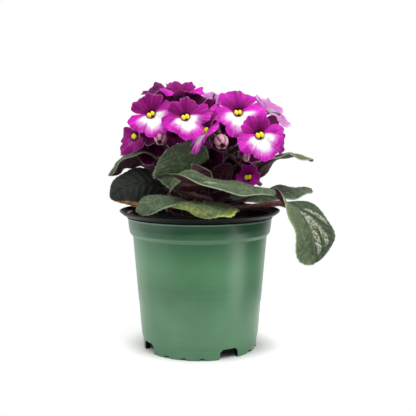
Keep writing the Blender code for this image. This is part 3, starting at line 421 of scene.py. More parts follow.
class BloomSettings(bpy.types.PropertyGroup):
    """Sizes and colours of the petals and pollen sacs."""

    thickness: span("Petal thickness", 0.00036, "Thickness of a petal")
    ripple: span("Ripple", 0.00045, "Height of the fine ripples at a petal's edge")
    overlap: portion("Overlap", 0.06, "How far neighbouring petals overlap, as a share of their half angle")
    dark_colour: tint("Upper petals", (0.165, 0.002, 0.090), "Deep purple of the two upper petals")
    bright_colour: tint("Lower petals", (0.65, 0.016, 0.50), "Bright magenta round the lower three petals")
    pink_colour: tint("Pink", (0.84, 0.42, 0.80), "Between magenta and white, and the rims of the upper petals")
    white_colour: tint("White band", (0.95, 0.90, 0.94), "The white band across the lower petals")
    back_colour: tint("Petal backs", (0.62, 0.19, 0.54), "Lilac backs of the petals")
    throat_colour: tint("Throat", (0.035, 0.001, 0.020), "The dark throat")
    sac_colour: tint("Pollen sacs", (1.0, 0.80, 0.005), "Yellow pollen sacs")


class StalkSettings(bpy.types.PropertyGroup):
    """Sizes and colours of the crown, flower stalks, calyxes and buds."""

    hairs: count("Hairs", 1100, "Hairs on each spray of flower stalks")
    hair_length: span("Hair length", 0.0008, "Middle length of a hair")
    dark_colour: tint("Dark stalk", (0.040, 0.008, 0.018), "Maroon of the flower stalks")
    light_colour: tint("Light stalk", (0.20, 0.055, 0.060), "Lighter streaks of the stalks")
    green_colour: tint("Calyx green", (0.035, 0.045, 0.020), "Green in the calyxes and the crown")
    bud_colour: tint("Bud", (0.72, 0.31, 0.42), "Folded pink petals of a bud")
    # Painted shade in the folds of a bud
    bud_fold_shadow: tint("Bud folds", (0.10, 0.008, 0.045), "The dark folds of a bud")


class StageSettings(bpy.types.PropertyGroup):
    """The floor, light and camera."""

    floor_size: span("Floor", 0.27, "Width of the floor")
    floor_colour: tint("Floor", (0.80, 0.80, 0.80), "Plain pale floor")
    floor_glow: FloatProperty(name="Floor glow", description="Light of the floor itself, as of a light table",
                              min=0.0, default=0.42)
    surround: FloatProperty(name="Surround", description="Least strength of the light all round", min=0.0,
                            default=0.26)
    key_power: FloatProperty(name="Key", description="Power of the large light overhead at right", unit="POWER",
                             min=0.0, default=8.0)
    fill_power: FloatProperty(name="Fill", description="Power of the soft light at left", unit="POWER", min=0.0,
                              default=1.6)
    lens: FloatProperty(name="Lens", description="Focal length of the camera", unit="CAMERA", min=1.0,
                        default=58.7)


GROUPS = {
    "violet_pot": PotSettings,
    "violet_mix": MixSettings,
    "violet_leaf": LeafSettings,
    "violet_bloom": BloomSettings,
    "violet_stalk": StalkSettings,
    "violet_stage": StageSettings,
}


def feed(tree, term, socket):
    """Links a socket, or sets a plain number or colour on it."""
    if isinstance(term, bpy.types.NodeSocket):
        tree.links.new(term, socket)
    elif isinstance(term, (int, float)):
        socket.default_value = term
    else:
        socket.default_value = (*term, 1.0)


def reckon(tree, operation, *terms):
    """The result of a Math node on these numbers and sockets."""
    node = tree.nodes.new("ShaderNodeMath")
    node.operation = operation
    for number, term in enumerate(terms):
        feed(tree, term, node.inputs[number])
    return node.outputs[0]


def rise(tree, value, low, high):
    """0 below low and 1 above high, with a smooth step between; high may be the lower of the two."""
    node = tree.nodes.new("ShaderNodeMapRange")
    node.interpolation_type = "SMOOTHSTEP"
    feed(tree, value, node.inputs["Value"])
    down = high < low
    node.inputs["From Min"].default_value = min(low, high)
    node.inputs["From Max"].default_value = max(low, high)
    node.inputs["To Min"].default_value = 1.0 if down else 0.0
    node.inputs["To Max"].default_value = 0.0 if down else 1.0
    return node.outputs["Result"]


def mixed(tree, share, one, other, manner="MIX"):
    """A colour between two, or one laid over the other in another manner."""
    node = tree.nodes.new("ShaderNodeMix")
    node.data_type = "RGBA"
    node.blend_type = manner
    feed(tree, share, node.inputs["Factor"])
    feed(tree, one, node.inputs[6])
    feed(tree, other, node.inputs[7])
    return node.outputs[2]


def cloud(tree, place, scale, detail=3.0, roughness=0.55):
    """Soft noise between 0 and 1."""
    node = tree.nodes.new("ShaderNodeTexNoise")
    tree.links.new(place, node.inputs["Vector"])
    node.inputs["Scale"].default_value = scale
    node.inputs["Detail"].default_value = detail
    node.inputs["Roughness"].default_value = roughness
    return node.outputs["Fac"]


def cells(tree, place, scale, feature="F1"):
    """Distance within a pattern of cells."""
    node = tree.nodes.new("ShaderNodeTexVoronoi")
    node.feature = feature
    tree.links.new(place, node.inputs["Vector"])
    node.inputs["Scale"].default_value = scale
    return node.outputs["Distance"]


def relief(tree, height, distance, under=None):
    """A bump of this height in metres, laid over another."""
    node = tree.nodes.new("ShaderNodeBump")
    node.inputs["Strength"].default_value = 1.0
    node.inputs["Distance"].default_value = distance
    tree.links.new(height, node.inputs["Height"])
    if under is not None:
        tree.links.new(under, node.inputs["Normal"])
    return node.outputs["Normal"]


def marks_of(tree, name):
    """The three values of a mesh's own marks of this name."""
    source = tree.nodes.new("ShaderNodeAttribute")
    source.attribute_name = name
    parts = tree.nodes.new("ShaderNodeSeparateXYZ")
    tree.links.new(source.outputs["Vector"], parts.inputs[0])
    return parts.outputs


def woven(tree, x, y, z):
    """A place made of three values, to draw a pattern along a petal or stalk."""
    node = tree.nodes.new("ShaderNodeCombineXYZ")
    for term, socket in zip((x, y, z), node.inputs):
        feed(tree, term, socket)
    return node.outputs[0]


def new_finish(name, slot_tone):
    """A finish with its shader, the place on the piece, and a viewport colour."""
    finish = bpy.data.materials.new(name)
    finish.use_nodes = True
    finish.diffuse_color = (*slot_tone, 1.0)
    tree = finish.node_tree
    shader = tree.nodes["Principled BSDF"]
    place = tree.nodes.new("ShaderNodeTexCoord").outputs["Object"]
    return finish, tree, shader, place


def settle(tree, shader, colour, roughness, normal):
    """Joins a finish's colour, roughness and relief to its shader."""
    tree.links.new(colour, shader.inputs["Base Color"])
    tree.links.new(roughness, shader.inputs["Roughness"])
    tree.links.new(normal, shader.inputs["Normal"])


def green_plastic(look):
    """Satin green plastic with faint mould rings, rubbed edges and a few chips near the foot, with painted shade on the
    collar and the wall's top, a painted paler band on the wall below, and a painted highlight along the collar's top
    edge and the bead.
    """
    finish, tree, shader, place = new_finish("green_plastic", look.wall_colour)
    parts = tree.nodes.new("ShaderNodeSeparateXYZ")
    tree.links.new(place, parts.inputs[0])
    height = parts.outputs["Z"]
    broad = cloud(tree, place, 28.0, 2.0)
    fine = cloud(tree, place, 420.0, 3.0)
    ring = cloud(tree, woven(tree, 0.0, 0.0, reckon(tree, "MULTIPLY", height, 1.0)), 620.0, 2.0)
    colour = mixed(tree, rise(tree, broad, 0.35, 0.70), look.wall_colour,
                   [part * 1.22 + 0.004 for part in look.wall_colour])
    # Paler from 42 mm up the wall: painted light that evens out the shadow of the leaves above
    colour = mixed(tree, reckon(tree, "MULTIPLY", rise(tree, height, 0.042, 0.060), 0.40), colour,
                   [part * 1.9 for part in look.wall_colour])
    # Painted shade: a deeper green toward the top of the wall, under the collar
    colour = mixed(tree, rise(tree, height, 0.058, 0.078), colour, look.top_shade_colour)
    # Painted shadow of the overhanging lip over the collar, with broad patches of painted dark reflection
    collar_shadow = reckon(tree, "ADD", rise(tree, height, 0.0785, 0.0870),
                    reckon(tree, "MULTIPLY", rise(tree, broad, 0.62, 0.40), 0.5))
    collar_shadow = reckon(tree, "MULTIPLY", rise(tree, height, 0.0780, 0.0795), reckon(tree, "MINIMUM", collar_shadow, 1.0))
    colour = mixed(tree, collar_shadow, colour, look.collar_shadow_colour)
    colour = mixed(tree, reckon(tree, "MULTIPLY", rise(tree, ring, 0.45, 0.75), 0.05), colour, look.line_and_highlight_colour)
    # Rubbed edges, with a painted highlight, along the collar's top edge and the bead
    edge = marks_of(tree, "wear")[0]
    colour = mixed(tree, edge, colour, look.line_and_highlight_colour)
    chip = reckon(tree, "MULTIPLY", rise(tree, cells(tree, place, 150.0), 0.20, 0.10),
                  rise(tree, height, 0.0105, 0.0045))
    chip = reckon(tree, "MULTIPLY", chip, rise(tree, cloud(tree, place, 60.0), 0.56, 0.62))
    colour = mixed(tree, chip, colour, (0.52, 0.44, 0.30))
    normal = relief(tree, ring, 0.00005)
    normal = relief(tree, fine, 0.00004, normal)
    shine = reckon(tree, "ADD", reckon(tree, "MULTIPLY", fine, 0.10), look.gloss - 0.05)
    shine = reckon(tree, "ADD", shine, reckon(tree, "MULTIPLY", chip, 0.3))
    settle(tree, shader, colour, shine, normal)
    shader.inputs["Specular IOR Level"].default_value = 0.45
    return finish


def black_plastic(look):
    """Black plastic of the lip and inside, dusty in places."""
    finish, tree, shader, place = new_finish("black_plastic", look.lip_colour)
    dust = cloud(tree, place, 180.0, 5.0, 0.7)
    colour = mixed(tree, reckon(tree, "MULTIPLY", rise(tree, dust, 0.52, 0.75), 0.20), look.lip_colour,
                   (0.050, 0.055, 0.048))
    fine = cloud(tree, place, 700.0, 2.0)
    settle(tree, shader, colour, reckon(tree, "ADD", reckon(tree, "MULTIPLY", dust, 0.25), 0.22),
           relief(tree, fine, 0.00005))
    shader.inputs["Specular IOR Level"].default_value = 0.08
    return finish


def moist_peat(look):
    """Dark fibrous peat."""
    finish, tree, shader, place = new_finish("moist_peat", look.peat_colour)
    clump = cloud(tree, place, 240.0, 6.0, 0.7)
    crumb = cells(tree, place, 900.0)
    colour = mixed(tree, rise(tree, clump, 0.40, 0.78), look.peat_colour,
                   [part * 3.2 for part in look.peat_colour])
    height = reckon(tree, "ADD", clump, reckon(tree, "MULTIPLY", crumb, 0.6))
    settle(tree, shader, colour, reckon(tree, "ADD", reckon(tree, "MULTIPLY", clump, 0.3), 0.60),
           relief(tree, height, 0.0006))
    return finish


def bark_bit(look):
    """Light pinkish bark."""
    finish, tree, shader, place = new_finish("bark_bit", look.bit_colour)
    grain = cloud(tree, place, 700.0, 4.0)
    colour = mixed(tree, rise(tree, grain, 0.35, 0.65), [part * 0.45 for part in look.bit_colour], look.bit_colour)
    settle(tree, shader, colour, reckon(tree, "ADD", reckon(tree, "MULTIPLY", grain, 0.2), 0.6),
           relief(tree, grain, 0.0003))
    return finish


def hairy_leaf(look, name="hairy_leaf", rim=0.75):
    """Quilted hairy leaf: green above with pale veins and a margin of painted sheen, maroon below, and its marks of
    age, with painted shade and painted highlight flecks.
    """
    finish, tree, shader, place = new_finish(name, look.light_colour)
    across, lengthways, under = marks_of(tree, "blade")
    brown, yellow, glint = marks_of(tree, "marks")
    pale, steep, shade = marks_of(tree, "tone")
    far = reckon(tree, "ABSOLUTE", across)
    slant = reckon(tree, "MULTIPLY", reckon(tree, "POWER", far, VEIN_BEND), steep)
    slant = reckon(tree, "MULTIPLY", slant, reckon(tree, "SUBTRACT", 1.0, lengthways))
    phase = reckon(tree, "MULTIPLY", reckon(tree, "SUBTRACT", lengthways, slant), float(look.vein_pairs))
    phase = reckon(tree, "ADD", phase, reckon(tree, "MULTIPLY", cloud(tree, place, 120.0, 2.0), 0.16))
    gap = reckon(tree, "PINGPONG", phase, 0.5)
    side_vein = reckon(tree, "MULTIPLY", rise(tree, gap, 0.085, 0.015), rise(tree, far, 1.0, 0.75))
    midrib = rise(tree, far, 0.055, 0.015)
    vein = reckon(tree, "MAXIMUM", side_vein, midrib)
    net = rise(tree, cells(tree, place, 950.0, "DISTANCE_TO_EDGE"), 0.16, 0.02)
    mottle = cloud(tree, place, 95.0, 4.0, 0.6)
    grit = cloud(tree, place, 1500.0, 2.0)
    light = reckon(tree, "ADD", reckon(tree, "MULTIPLY", mottle, 0.45), reckon(tree, "MULTIPLY", pale, 0.60))
    light = reckon(tree, "SUBTRACT", light, 0.12)
    # Painted shade: darker bands along the sunken side veins
    light = reckon(tree, "SUBTRACT", light, reckon(tree, "MULTIPLY", rise(tree, gap, 0.18, 0.06), 0.20))
    node = mixed(tree, reckon(tree, "MINIMUM", reckon(tree, "MAXIMUM", light, 0.0), 1.0),
                 look.dark_colour, look.light_colour)
    node = mixed(tree, reckon(tree, "MULTIPLY", vein, 0.17), node, look.vein_and_rim_sheen_colour)
    node = mixed(tree, reckon(tree, "MULTIPLY", net, 0.18), node, look.light_colour)
    blotch = rise(tree, cloud(tree, place, 380.0, 5.0, 0.72), 0.46, 0.66)
    node = mixed(tree, reckon(tree, "MULTIPLY", blotch, reckon(tree, "ADD", reckon(tree, "MULTIPLY", light, 0.75), 0.30)),
                 node, [part * 1.45 for part in look.light_colour])
    # Painted shade: leaves deep in shade are darkened toward near black
    node = mixed(tree, shade, node, (0.004, 0.007, 0.004))
    # Painted highlight flecks and stripes where the hairs catch the light
    glint_speck = rise(tree, cloud(tree, place, 700.0, 3.0, 0.65), 0.38, 0.62)
    glint_speck = reckon(tree, "MULTIPLY", glint_speck, rise(tree, glint, 0.25, 0.75))
    node = mixed(tree, glint_speck, node, look.highlight_fleck_colour)
    ageing = reckon(tree, "MULTIPLY", yellow, reckon(tree, "ADD", reckon(tree, "MULTIPLY", blotch, 0.65), 0.30))
    node = mixed(tree, ageing, node, look.yellow_colour)
    edge = rise(tree, far, 0.925, 0.985)
    node = mixed(tree, reckon(tree, "MULTIPLY", reckon(tree, "MULTIPLY", yellow, edge), 0.8), node,
                 [part * 1.5 for part in look.yellow_colour])
    # Painted sheen of the marginal hairs along the rim, weaker on leaves in painted shade and on yellowing ones
    margin = reckon(tree, "MULTIPLY", edge, reckon(tree, "SUBTRACT", rim, reckon(tree, "MULTIPLY", shade, 0.15)))
    margin = reckon(tree, "MULTIPLY", margin, reckon(tree, "SUBTRACT", 1.0, reckon(tree, "MULTIPLY", yellow, 0.9)))
    node = mixed(tree, margin, node, look.vein_and_rim_sheen_colour)
    dead = rise(tree, reckon(tree, "ADD", brown, reckon(tree, "MULTIPLY", mottle, 0.5)), 0.55, 0.80)
    burnt = mixed(tree, rise(tree, cloud(tree, place, 260.0, 4.0, 0.7), 0.42, 0.62),
                  [part * 0.35 for part in look.dead_colour], look.dead_colour)
    node = mixed(tree, dead, node, burnt)
    below = mixed(tree, rise(tree, mottle, 0.30, 0.80), look.under_colour,
                  [part * 1.5 for part in look.under_colour])
    below = mixed(tree, reckon(tree, "MULTIPLY", vein, 0.8), below, look.under_light)
    colour = mixed(tree, rise(tree, under, 0.45, 0.75), node, below)
    height = reckon(tree, "ADD", reckon(tree, "MULTIPLY", net, -0.35), reckon(tree, "MULTIPLY", vein, -0.8))
    height = reckon(tree, "ADD", height, reckon(tree, "MULTIPLY", grit, 0.35))
    normal = relief(tree, height, 0.00030)
    shine = reckon(tree, "ADD", reckon(tree, "MULTIPLY", grit, 0.18), 0.42)
    settle(tree, shader, colour, shine, normal)
    shader.inputs["Specular IOR Level"].default_value = 0.28
    shader.inputs["Sheen Weight"].default_value = 0.03
    shader.inputs["Sheen Roughness"].default_value = 0.35
    shader.inputs["Sheen Tint"].default_value = (0.85, 0.95, 0.80, 1.0)
    return finish


def fleshy_stalk(name, dark, light, green, greenness):
    """Streaked maroon stalk, greener in places."""
    finish, tree, shader, place = new_finish(name, light)
    streak = cloud(tree, place, 420.0, 4.0, 0.6)
    patch = cloud(tree, place, 90.0, 2.0)
    colour = mixed(tree, rise(tree, streak, 0.42, 0.75), dark, light)
    colour = mixed(tree, reckon(tree, "MULTIPLY", rise(tree, patch, 0.42, 0.70), greenness), colour, green)
    settle(tree, shader, colour, reckon(tree, "ADD", reckon(tree, "MULTIPLY", streak, 0.2), 0.38),
           relief(tree, cloud(tree, place, 1300.0, 3.0), 0.00015))
    shader.inputs["Sheen Weight"].default_value = 0.12
    return finish


def pale_hair(look):
    """Pale soft hairs, faintly uneven."""
    finish, tree, shader, place = new_finish("pale_hair", look.hair_colour)
    drift = cloud(tree, place, 200.0, 2.0)
    colour = mixed(tree, drift, [part * 0.7 for part in look.hair_colour], look.hair_colour)
    settle(tree, shader, colour, reckon(tree, "ADD", reckon(tree, "MULTIPLY", drift, 0.1), 0.45),
           relief(tree, drift, 0.00005))
    return finish


def velvet_petal(look, name="velvet_petal", through=0.45, depth=0.0012):
    """Velvety petals: deep purple above, magenta round a white band below, lilac behind."""
    finish, tree, shader, place = new_finish(name, look.bright_colour)
    across, out, back = marks_of(tree, "petal")
    bright, white, turn = marks_of(tree, "zone")
    veins = cloud(tree, woven(tree, reckon(tree, "MULTIPLY", across, 5.0), reckon(tree, "MULTIPLY", out, 0.8), turn),
                  2.0, 3.0, 0.55)
    drift = cloud(tree, place, 260.0, 3.0)
    broad = cloud(tree, place, 90.0, 2.0)
    deep = mixed(tree, rise(tree, veins, 0.30, 0.75), [part * 0.80 for part in look.dark_colour],
                 [part * 1.25 + 0.001 for part in look.dark_colour])
    deep = mixed(tree, reckon(tree, "MULTIPLY", rise(tree, out, 0.50, 0.08), 0.55), deep, look.throat_colour)
    shade = [part * 0.55 for part in look.bright_colour]
    lower = mixed(tree, rise(tree, broad, 0.32, 0.62), shade, look.bright_colour)
    streak = reckon(tree, "MULTIPLY", rise(tree, veins, 0.52, 0.72), 0.22)
    lower = mixed(tree, streak, lower, look.pink_colour)
    deep = mixed(tree, reckon(tree, "MULTIPLY", rise(tree, broad, 0.50, 0.70), 0.10), deep, look.bright_colour)
    colour = mixed(tree, reckon(tree, "MAXIMUM", bright, 0.0), deep, lower)
    # Painted shade: petals with a negative brightness, the blooms deep inside the head, darken toward the throat's
    # colour
    colour = mixed(tree, reckon(tree, "MULTIPLY", rise(tree, bright, -0.05, -0.50), 0.60), colour, look.throat_colour)
    ragged = reckon(tree, "ADD", reckon(tree, "MULTIPLY", drift, 0.25), reckon(tree, "MULTIPLY", veins, 0.28))
    ragged = reckon(tree, "ADD", ragged, reckon(tree, "MULTIPLY", broad, 0.45))
    band = reckon(tree, "SUBTRACT", reckon(tree, "ADD", white, ragged), 0.49)
    colour = mixed(tree, reckon(tree, "MULTIPLY", rise(tree, band, 0.16, 0.50), 0.60), colour, look.pink_colour)
    colour = mixed(tree, rise(tree, band, 0.38, 0.66), colour, look.white_colour)
    rim = reckon(tree, "MULTIPLY", rise(tree, out, 0.93, 0.99), reckon(tree, "SUBTRACT", 0.55, bright))
    colour = mixed(tree, reckon(tree, "MULTIPLY", reckon(tree, "MAXIMUM", rim, 0.0), 0.30), colour,
                   look.pink_colour)
    colour = mixed(tree, reckon(tree, "MULTIPLY", rise(tree, out, 0.16, 0.03), 0.85), colour, look.throat_colour)
    behind = mixed(tree, rise(tree, veins, 0.30, 0.75), look.back_colour,
                   [min(part * 1.35 + 0.05, 1.0) for part in look.back_colour])
    dusky = reckon(tree, "MULTIPLY", rise(tree, back, 0.95, 0.65), 0.55)
    behind = mixed(tree, dusky, behind, look.dark_colour)
    behind = mixed(tree, reckon(tree, "MULTIPLY", rise(tree, back, 0.92, 0.98), 0.85), behind, (0.80, 0.28, 0.70))
    behind = mixed(tree, reckon(tree, "MULTIPLY", rise(tree, band, 0.45, 0.9), 0.45), behind, look.white_colour)
    colour = mixed(tree, rise(tree, back, 0.10, 0.50), colour, behind)
    normal = relief(tree, veins, 0.00004)
    normal = relief(tree, cells(tree, place, 3200.0), 0.00004, normal)
    settle(tree, shader, colour, reckon(tree, "ADD", reckon(tree, "MULTIPLY", drift, 0.15), 0.48), normal)
    shader.inputs["Specular IOR Level"].default_value = 0.06
    shader.inputs["Subsurface Weight"].default_value = through
    shader.inputs["Subsurface Radius"].default_value = (1.0, 0.6, 0.9)
    shader.inputs["Subsurface Scale"].default_value = depth
    return finish


def yellow_pollen(look):
    """Grainy yellow pollen sacs."""
    finish, tree, shader, place = new_finish("yellow_pollen", look.sac_colour)
    grain = cells(tree, place, 3000.0)
    patch = cloud(tree, place, 700.0, 2.0)
    colour = mixed(tree, rise(tree, patch, 0.55, 0.80), look.sac_colour, (0.62, 0.30, 0.01))
    settle(tree, shader, colour, reckon(tree, "ADD", reckon(tree, "MULTIPLY", patch, 0.2), 0.45),
           relief(tree, grain, 0.00012))
    return finish


def folded_petals(look):
    """Pink folded petals of a bud, with painted shade in their folds."""
    finish, tree, shader, place = new_finish("folded_petals", look.bud_colour)
    fold = marks_of(tree, "fold")[0]
    streak = cloud(tree, place, 800.0, 3.0)
    colour = mixed(tree, rise(tree, streak, 0.35, 0.70), [part * 0.7 for part in look.bud_colour],
                   [min(part * 1.25, 1.0) for part in look.bud_colour])
    colour = mixed(tree, fold, colour, look.bud_fold_shadow)
    settle(tree, shader, colour, reckon(tree, "ADD", reckon(tree, "MULTIPLY", streak, 0.2), 0.35),
           relief(tree, streak, 0.00015))
    shader.inputs["Sheen Weight"].default_value = 0.2
    return finish


class Pile:
    """Points, faces, finishes and marks, gathered into one mesh."""

    def __init__(self):
        self.points, self.faces, self.finishes, self.marks, self.total = [], [], [], {}, 0

    def add(self, points, faces, finish=0, **marks):
        """Adds a shape, with a finish for all its faces and three values for each point under each name."""
        points = np.asarray(points, float).reshape(-1, 3)
        for face in faces:
            self.faces.append([int(corner) + self.total for corner in face])
        self.finishes.extend([finish] * len(faces))
        for name, values in marks.items():
            rows = np.broadcast_to(np.asarray(values, float), (len(points), 3))
            self.marks.setdefault(name, []).append((self.total, rows))
        self.points.append(points)
        self.total += len(points)

    def piece(self, name, finishes, slot, *nodes):
        """The piece that stands for these nodes of the frame."""
        mesh = bpy.data.meshes.new(name)
        mesh.from_pydata((np.concatenate(self.points) + AXIS).tolist(), [], self.faces)
        mesh.validate(clean_customdata=False)
        for finish in finishes:
            mesh.materials.append(finish)
        mesh.polygons.foreach_set("material_index", self.finishes)
        for title, parts in self.marks.items():
            values = np.zeros((self.total, 3), np.float32)
            for start, rows in parts:
                values[start:start + len(rows)] = rows
            mesh.attributes.new(title, "FLOAT_VECTOR", "POINT").data.foreach_set("vector", values.ravel())
        body = bmesh.new()
        body.from_mesh(mesh)
        bmesh.ops.recalc_face_normals(body, faces=body.faces)
        body.to_mesh(mesh)
        body.free()
        mesh.shade_smooth()
        mesh.set_sharp_from_angle(angle=math.radians(50))
        obj = bpy.data.objects.new(name, mesh)
        bpy.context.scene.collection.objects.link(obj)
        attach(obj, BODY)
        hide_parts(*nodes)
        return obj


def strip_faces(rows, columns, closed):
    """Quads between rows of equally many points."""
    down = np.arange(rows - 1)[:, None]
    over = np.arange(columns if closed else columns - 1)[None, :]
    here, beside = down * columns + over, down * columns + (over + 1) % columns
    return np.stack([here, beside, beside + columns, here + columns], axis=-1).reshape(-1, 4).tolist()


def lofted(rings):
    """A closed shape through rings of points, with a fan over each end."""
    rings = np.asarray(rings, float)
    rows, columns = rings.shape[:2]
    points = np.concatenate([rings.reshape(-1, 3), [rings[0].mean(0), rings[-1].mean(0)]])
    faces = strip_faces(rows, columns, True)
    first, last, end = rows * columns, rows * columns + 1, (rows - 1) * columns
    for i in range(columns):
        faces.append([(i + 1) % columns, i, first])
        faces.append([end + i, end + (i + 1) % columns, last])
    return points, faces


def sheet(front, back):
    """A closed thin body from two grids of points whose borders coincide."""
    rows, columns = front.shape[:2]
    index = np.arange(rows * columns).reshape(rows, columns)
    behind = index.copy()
    behind[1:-1, 1:-1] = rows * columns + np.arange((rows - 2) * (columns - 2)).reshape(rows - 2, columns - 2)
    points = np.concatenate([front.reshape(-1, 3), back[1:-1, 1:-1].reshape(-1, 3)])
    faces = []
    for grid, flip in ((index, False), (behind, True)):
        corners = [grid[:-1, :-1], grid[:-1, 1:], grid[1:, 1:], grid[1:, :-1]]
        if flip:
            corners.reverse()
        faces += np.stack(corners, axis=-1).reshape(-1, 4).tolist()
    return points, faces


def sheet_values(front, back):
    """Values for the points of a sheet, from two grids of them."""
    return np.concatenate([front.reshape(-1, 3), back[1:-1, 1:-1].reshape(-1, 3)])


def spikes(roots, headings, lengths, width, draw):
    """Hairs as slim closed spikes that stand in the surface."""
    headings = headings / np.linalg.norm(headings, axis=1, keepdims=True)
    guide = np.where(np.abs(headings[:, 2:3]) < 0.9, [[0.0, 0.0, 1.0]], [[1.0, 0.0, 0.0]])
    one = np.cross(headings, guide)
    one /= np.linalg.norm(one, axis=1, keepdims=True)
    two = np.cross(headings, one)
    foot = roots - headings * 0.00015
    bend = draw.normal(0.0, 0.18, (len(roots), 3)) * lengths[:, None]
    rows = [foot + width * (one * math.cos(a) + two * math.sin(a)) for a in (0.0, math.tau / 3, 2 * math.tau / 3)]
    rows.append(roots + headings * lengths[:, None] + bend)
    points = np.stack(rows, axis=1).reshape(-1, 3)
    start = 4 * np.arange(len(roots))[:, None]
    faces = np.concatenate([start + [[0, 1, 3]], start + [[1, 2, 3]], start + [[2, 0, 3]], start + [[2, 1, 0]]])
    return points, faces.tolist()


def curve_through(points, steps=40):
    """Points close together on a smooth curve through these, and the length along it at each given point."""
    points = [Vector(point) for point in points]
    ends = [2 * points[0] - points[1], *points, 2 * points[-1] - points[-2]]
    line, marks, length = [points[0]], [0.0], 0.0
    for before, here, there, after in zip(ends, ends[1:], ends[2:], ends[3:]):
        for step in range(1, steps + 1):
            t = step / steps
            place = 0.5 * (
                2 * here
                + (there - before) * t
                + (2 * before - 5 * here + 4 * there - after) * t * t
                + (3 * here - before - 3 * there + after) * t**3
            )
            length += (place - line[-1]).length
            line.append(place)
        marks.append(length)
    return line, marks


def follow(line, distances):
    """Places and directions at these lengths along a line of points."""
    places = np.array(line)
    travelled = np.concatenate([[0.0], np.cumsum(np.linalg.norm(np.diff(places, axis=0), axis=1))])
    def at(lengths):
        return np.stack([np.interp(lengths, travelled, places[:, k]) for k in range(3)], axis=1)
    distances = np.asarray(distances, float)
    near, far = np.maximum(distances - 0.0009, 0.0), np.minimum(distances + 0.0009, travelled[-1])
    ahead = at(far) - at(near)
    return at(distances), ahead / np.linalg.norm(ahead, axis=1, keepdims=True)


def square_to(vector, direction):
    """The part of a vector at right angles to a direction, of length 1."""
    return (vector - direction * vector.dot(direction)).normalized()


def tube(points, radii, sides, stations, knots=0.0, seed=0):
    """Rings of a round stalk through these points, with its radius changing from value to value."""
    line, marks = curve_through(points)
    lengths = np.linspace(0.0, marks[-1], stations)
    places, ways = follow(line, lengths)
    sizes = np.interp(lengths, np.linspace(0.0, marks[-1], len(radii)), radii)
    draw = random.Random(seed)
    facing, rings = Vector((0.31, 0.74, 0.18)), []
    for place, way, radius in zip(places, ways, sizes):
        way = Vector(way)
        facing = square_to(facing, way)
        side = way.cross(facing)
        radius *= 1 + draw.uniform(-knots, knots)
        rings.append([place + radius * np.array(facing * math.cos(a) + side * math.sin(a))
                      for a in (math.tau * i / sides for i in range(sides))])
    return np.array(rings)


def blade_share(t, base, fullness):
    """Half width of a blade at t along its midrib, as a share of its greatest: heart-shaped base, round tip."""
    rising = base + (1 - base) * np.sin(math.pi / 2 * np.minimum(t, WIDEST_AT) / WIDEST_AT) ** 0.8
    falling = (1 - (np.maximum(t - WIDEST_AT, 0.0) / (1 - WIDEST_AT)) ** fullness) ** 0.62
    return np.where(t < WIDEST_AT, rising, falling)


def face_at(faces, t):
    """The way that a blade's upper face looks at t along its midrib, between the three given."""
    base, middle, tip = (Vector(face).normalized() for face in faces)
    if t < 0.5:
        return base.lerp(middle, 2 * t)
    return middle.lerp(tip, 2 * t - 1)


def leaf_line(leaf):
    """The line of a leaf's stalk and midrib, the length of its stalk, and the length of its blade."""
    heading = Vector((math.cos(math.radians(leaf.angle)), math.sin(math.radians(leaf.angle)), 0.0))
    root = CROWN_CENTRE + heading * leaf.root + Vector((0, 0, leaf.height))
    line, marks = curve_through([root, root + heading * 0.004, *leaf.stalk, *leaf.rib])
    base = marks[2 + len(leaf.stalk)]
    return line, base, marks[-1] - base


# Long stripes of painted highlight where the hairs stand up and catch the light: ends across and along the blade, and
# half width
HIGHLIGHT_STRIPES = {"leaf_09_right_hanging": (((0.00, 0.30), (-0.16, 0.80), 0.085), ((-0.06, 0.34), (-0.50, 0.74), 0.070),
                                     ((-0.16, 0.26), (-0.74, 0.50), 0.045))}


def leaf_marks(leaf, v, t):
    """How dead and yellow a blade is over its whole face, and where flecks of painted highlight lie on it."""
    marks = np.zeros((*v.shape, 3))
    for (v0, t0), (v1, t1), wide in HIGHLIGHT_STRIPES.get(leaf.name, ()):
        share = np.clip(((v - v0) * (v1 - v0) + (t - t0) * (t1 - t0)) / ((v1 - v0) ** 2 + (t1 - t0) ** 2), 0, 1)
        gap = np.hypot(v - v0 - share * (v1 - v0), t - t0 - share * (t1 - t0))
        marks[..., 2] = np.maximum(marks[..., 2], np.clip(1.5 - gap / (wide * (0.5 + 0.6 * share)), 0, 1))
    for kind, across, lengthways, wide, long, strength in BLEMISHES.get(leaf.name, ()):
        gap = np.sqrt(((v - across) / wide) ** 2 + ((t - lengthways) / long) ** 2)
        marks[..., kind] = np.maximum(marks[..., kind], strength * np.clip(1.35 - gap, 0.0, 1.0))
    return marks


def eased(stations, values, t):
    """Values between those at the stations, on a smooth curve through them."""
    stations, values = np.asarray(stations, float), np.asarray(values, float)
    gaps = np.diff(stations)
    slopes = np.diff(values, axis=0) / gaps.reshape(-1, *[1] * (values.ndim - 1))
    tangents = np.concatenate([slopes[:1], (slopes[1:] + slopes[:-1]) / 2, slopes[-1:]])
    k = np.clip(np.searchsorted(stations, t, side="right") - 1, 0, len(gaps) - 1)
    shape = (-1, *[1] * (values.ndim - 1))
    u, gap = ((t - stations[k]) / gaps[k]).reshape(shape), gaps[k].reshape(shape)
    return ((2 * u**3 - 3 * u**2 + 1) * values[k] + (u**3 - 2 * u**2 + u) * gap * tangents[k]
            + (3 * u**2 - 2 * u**3) * values[k + 1] + (u**3 - u**2) * gap * tangents[k + 1])


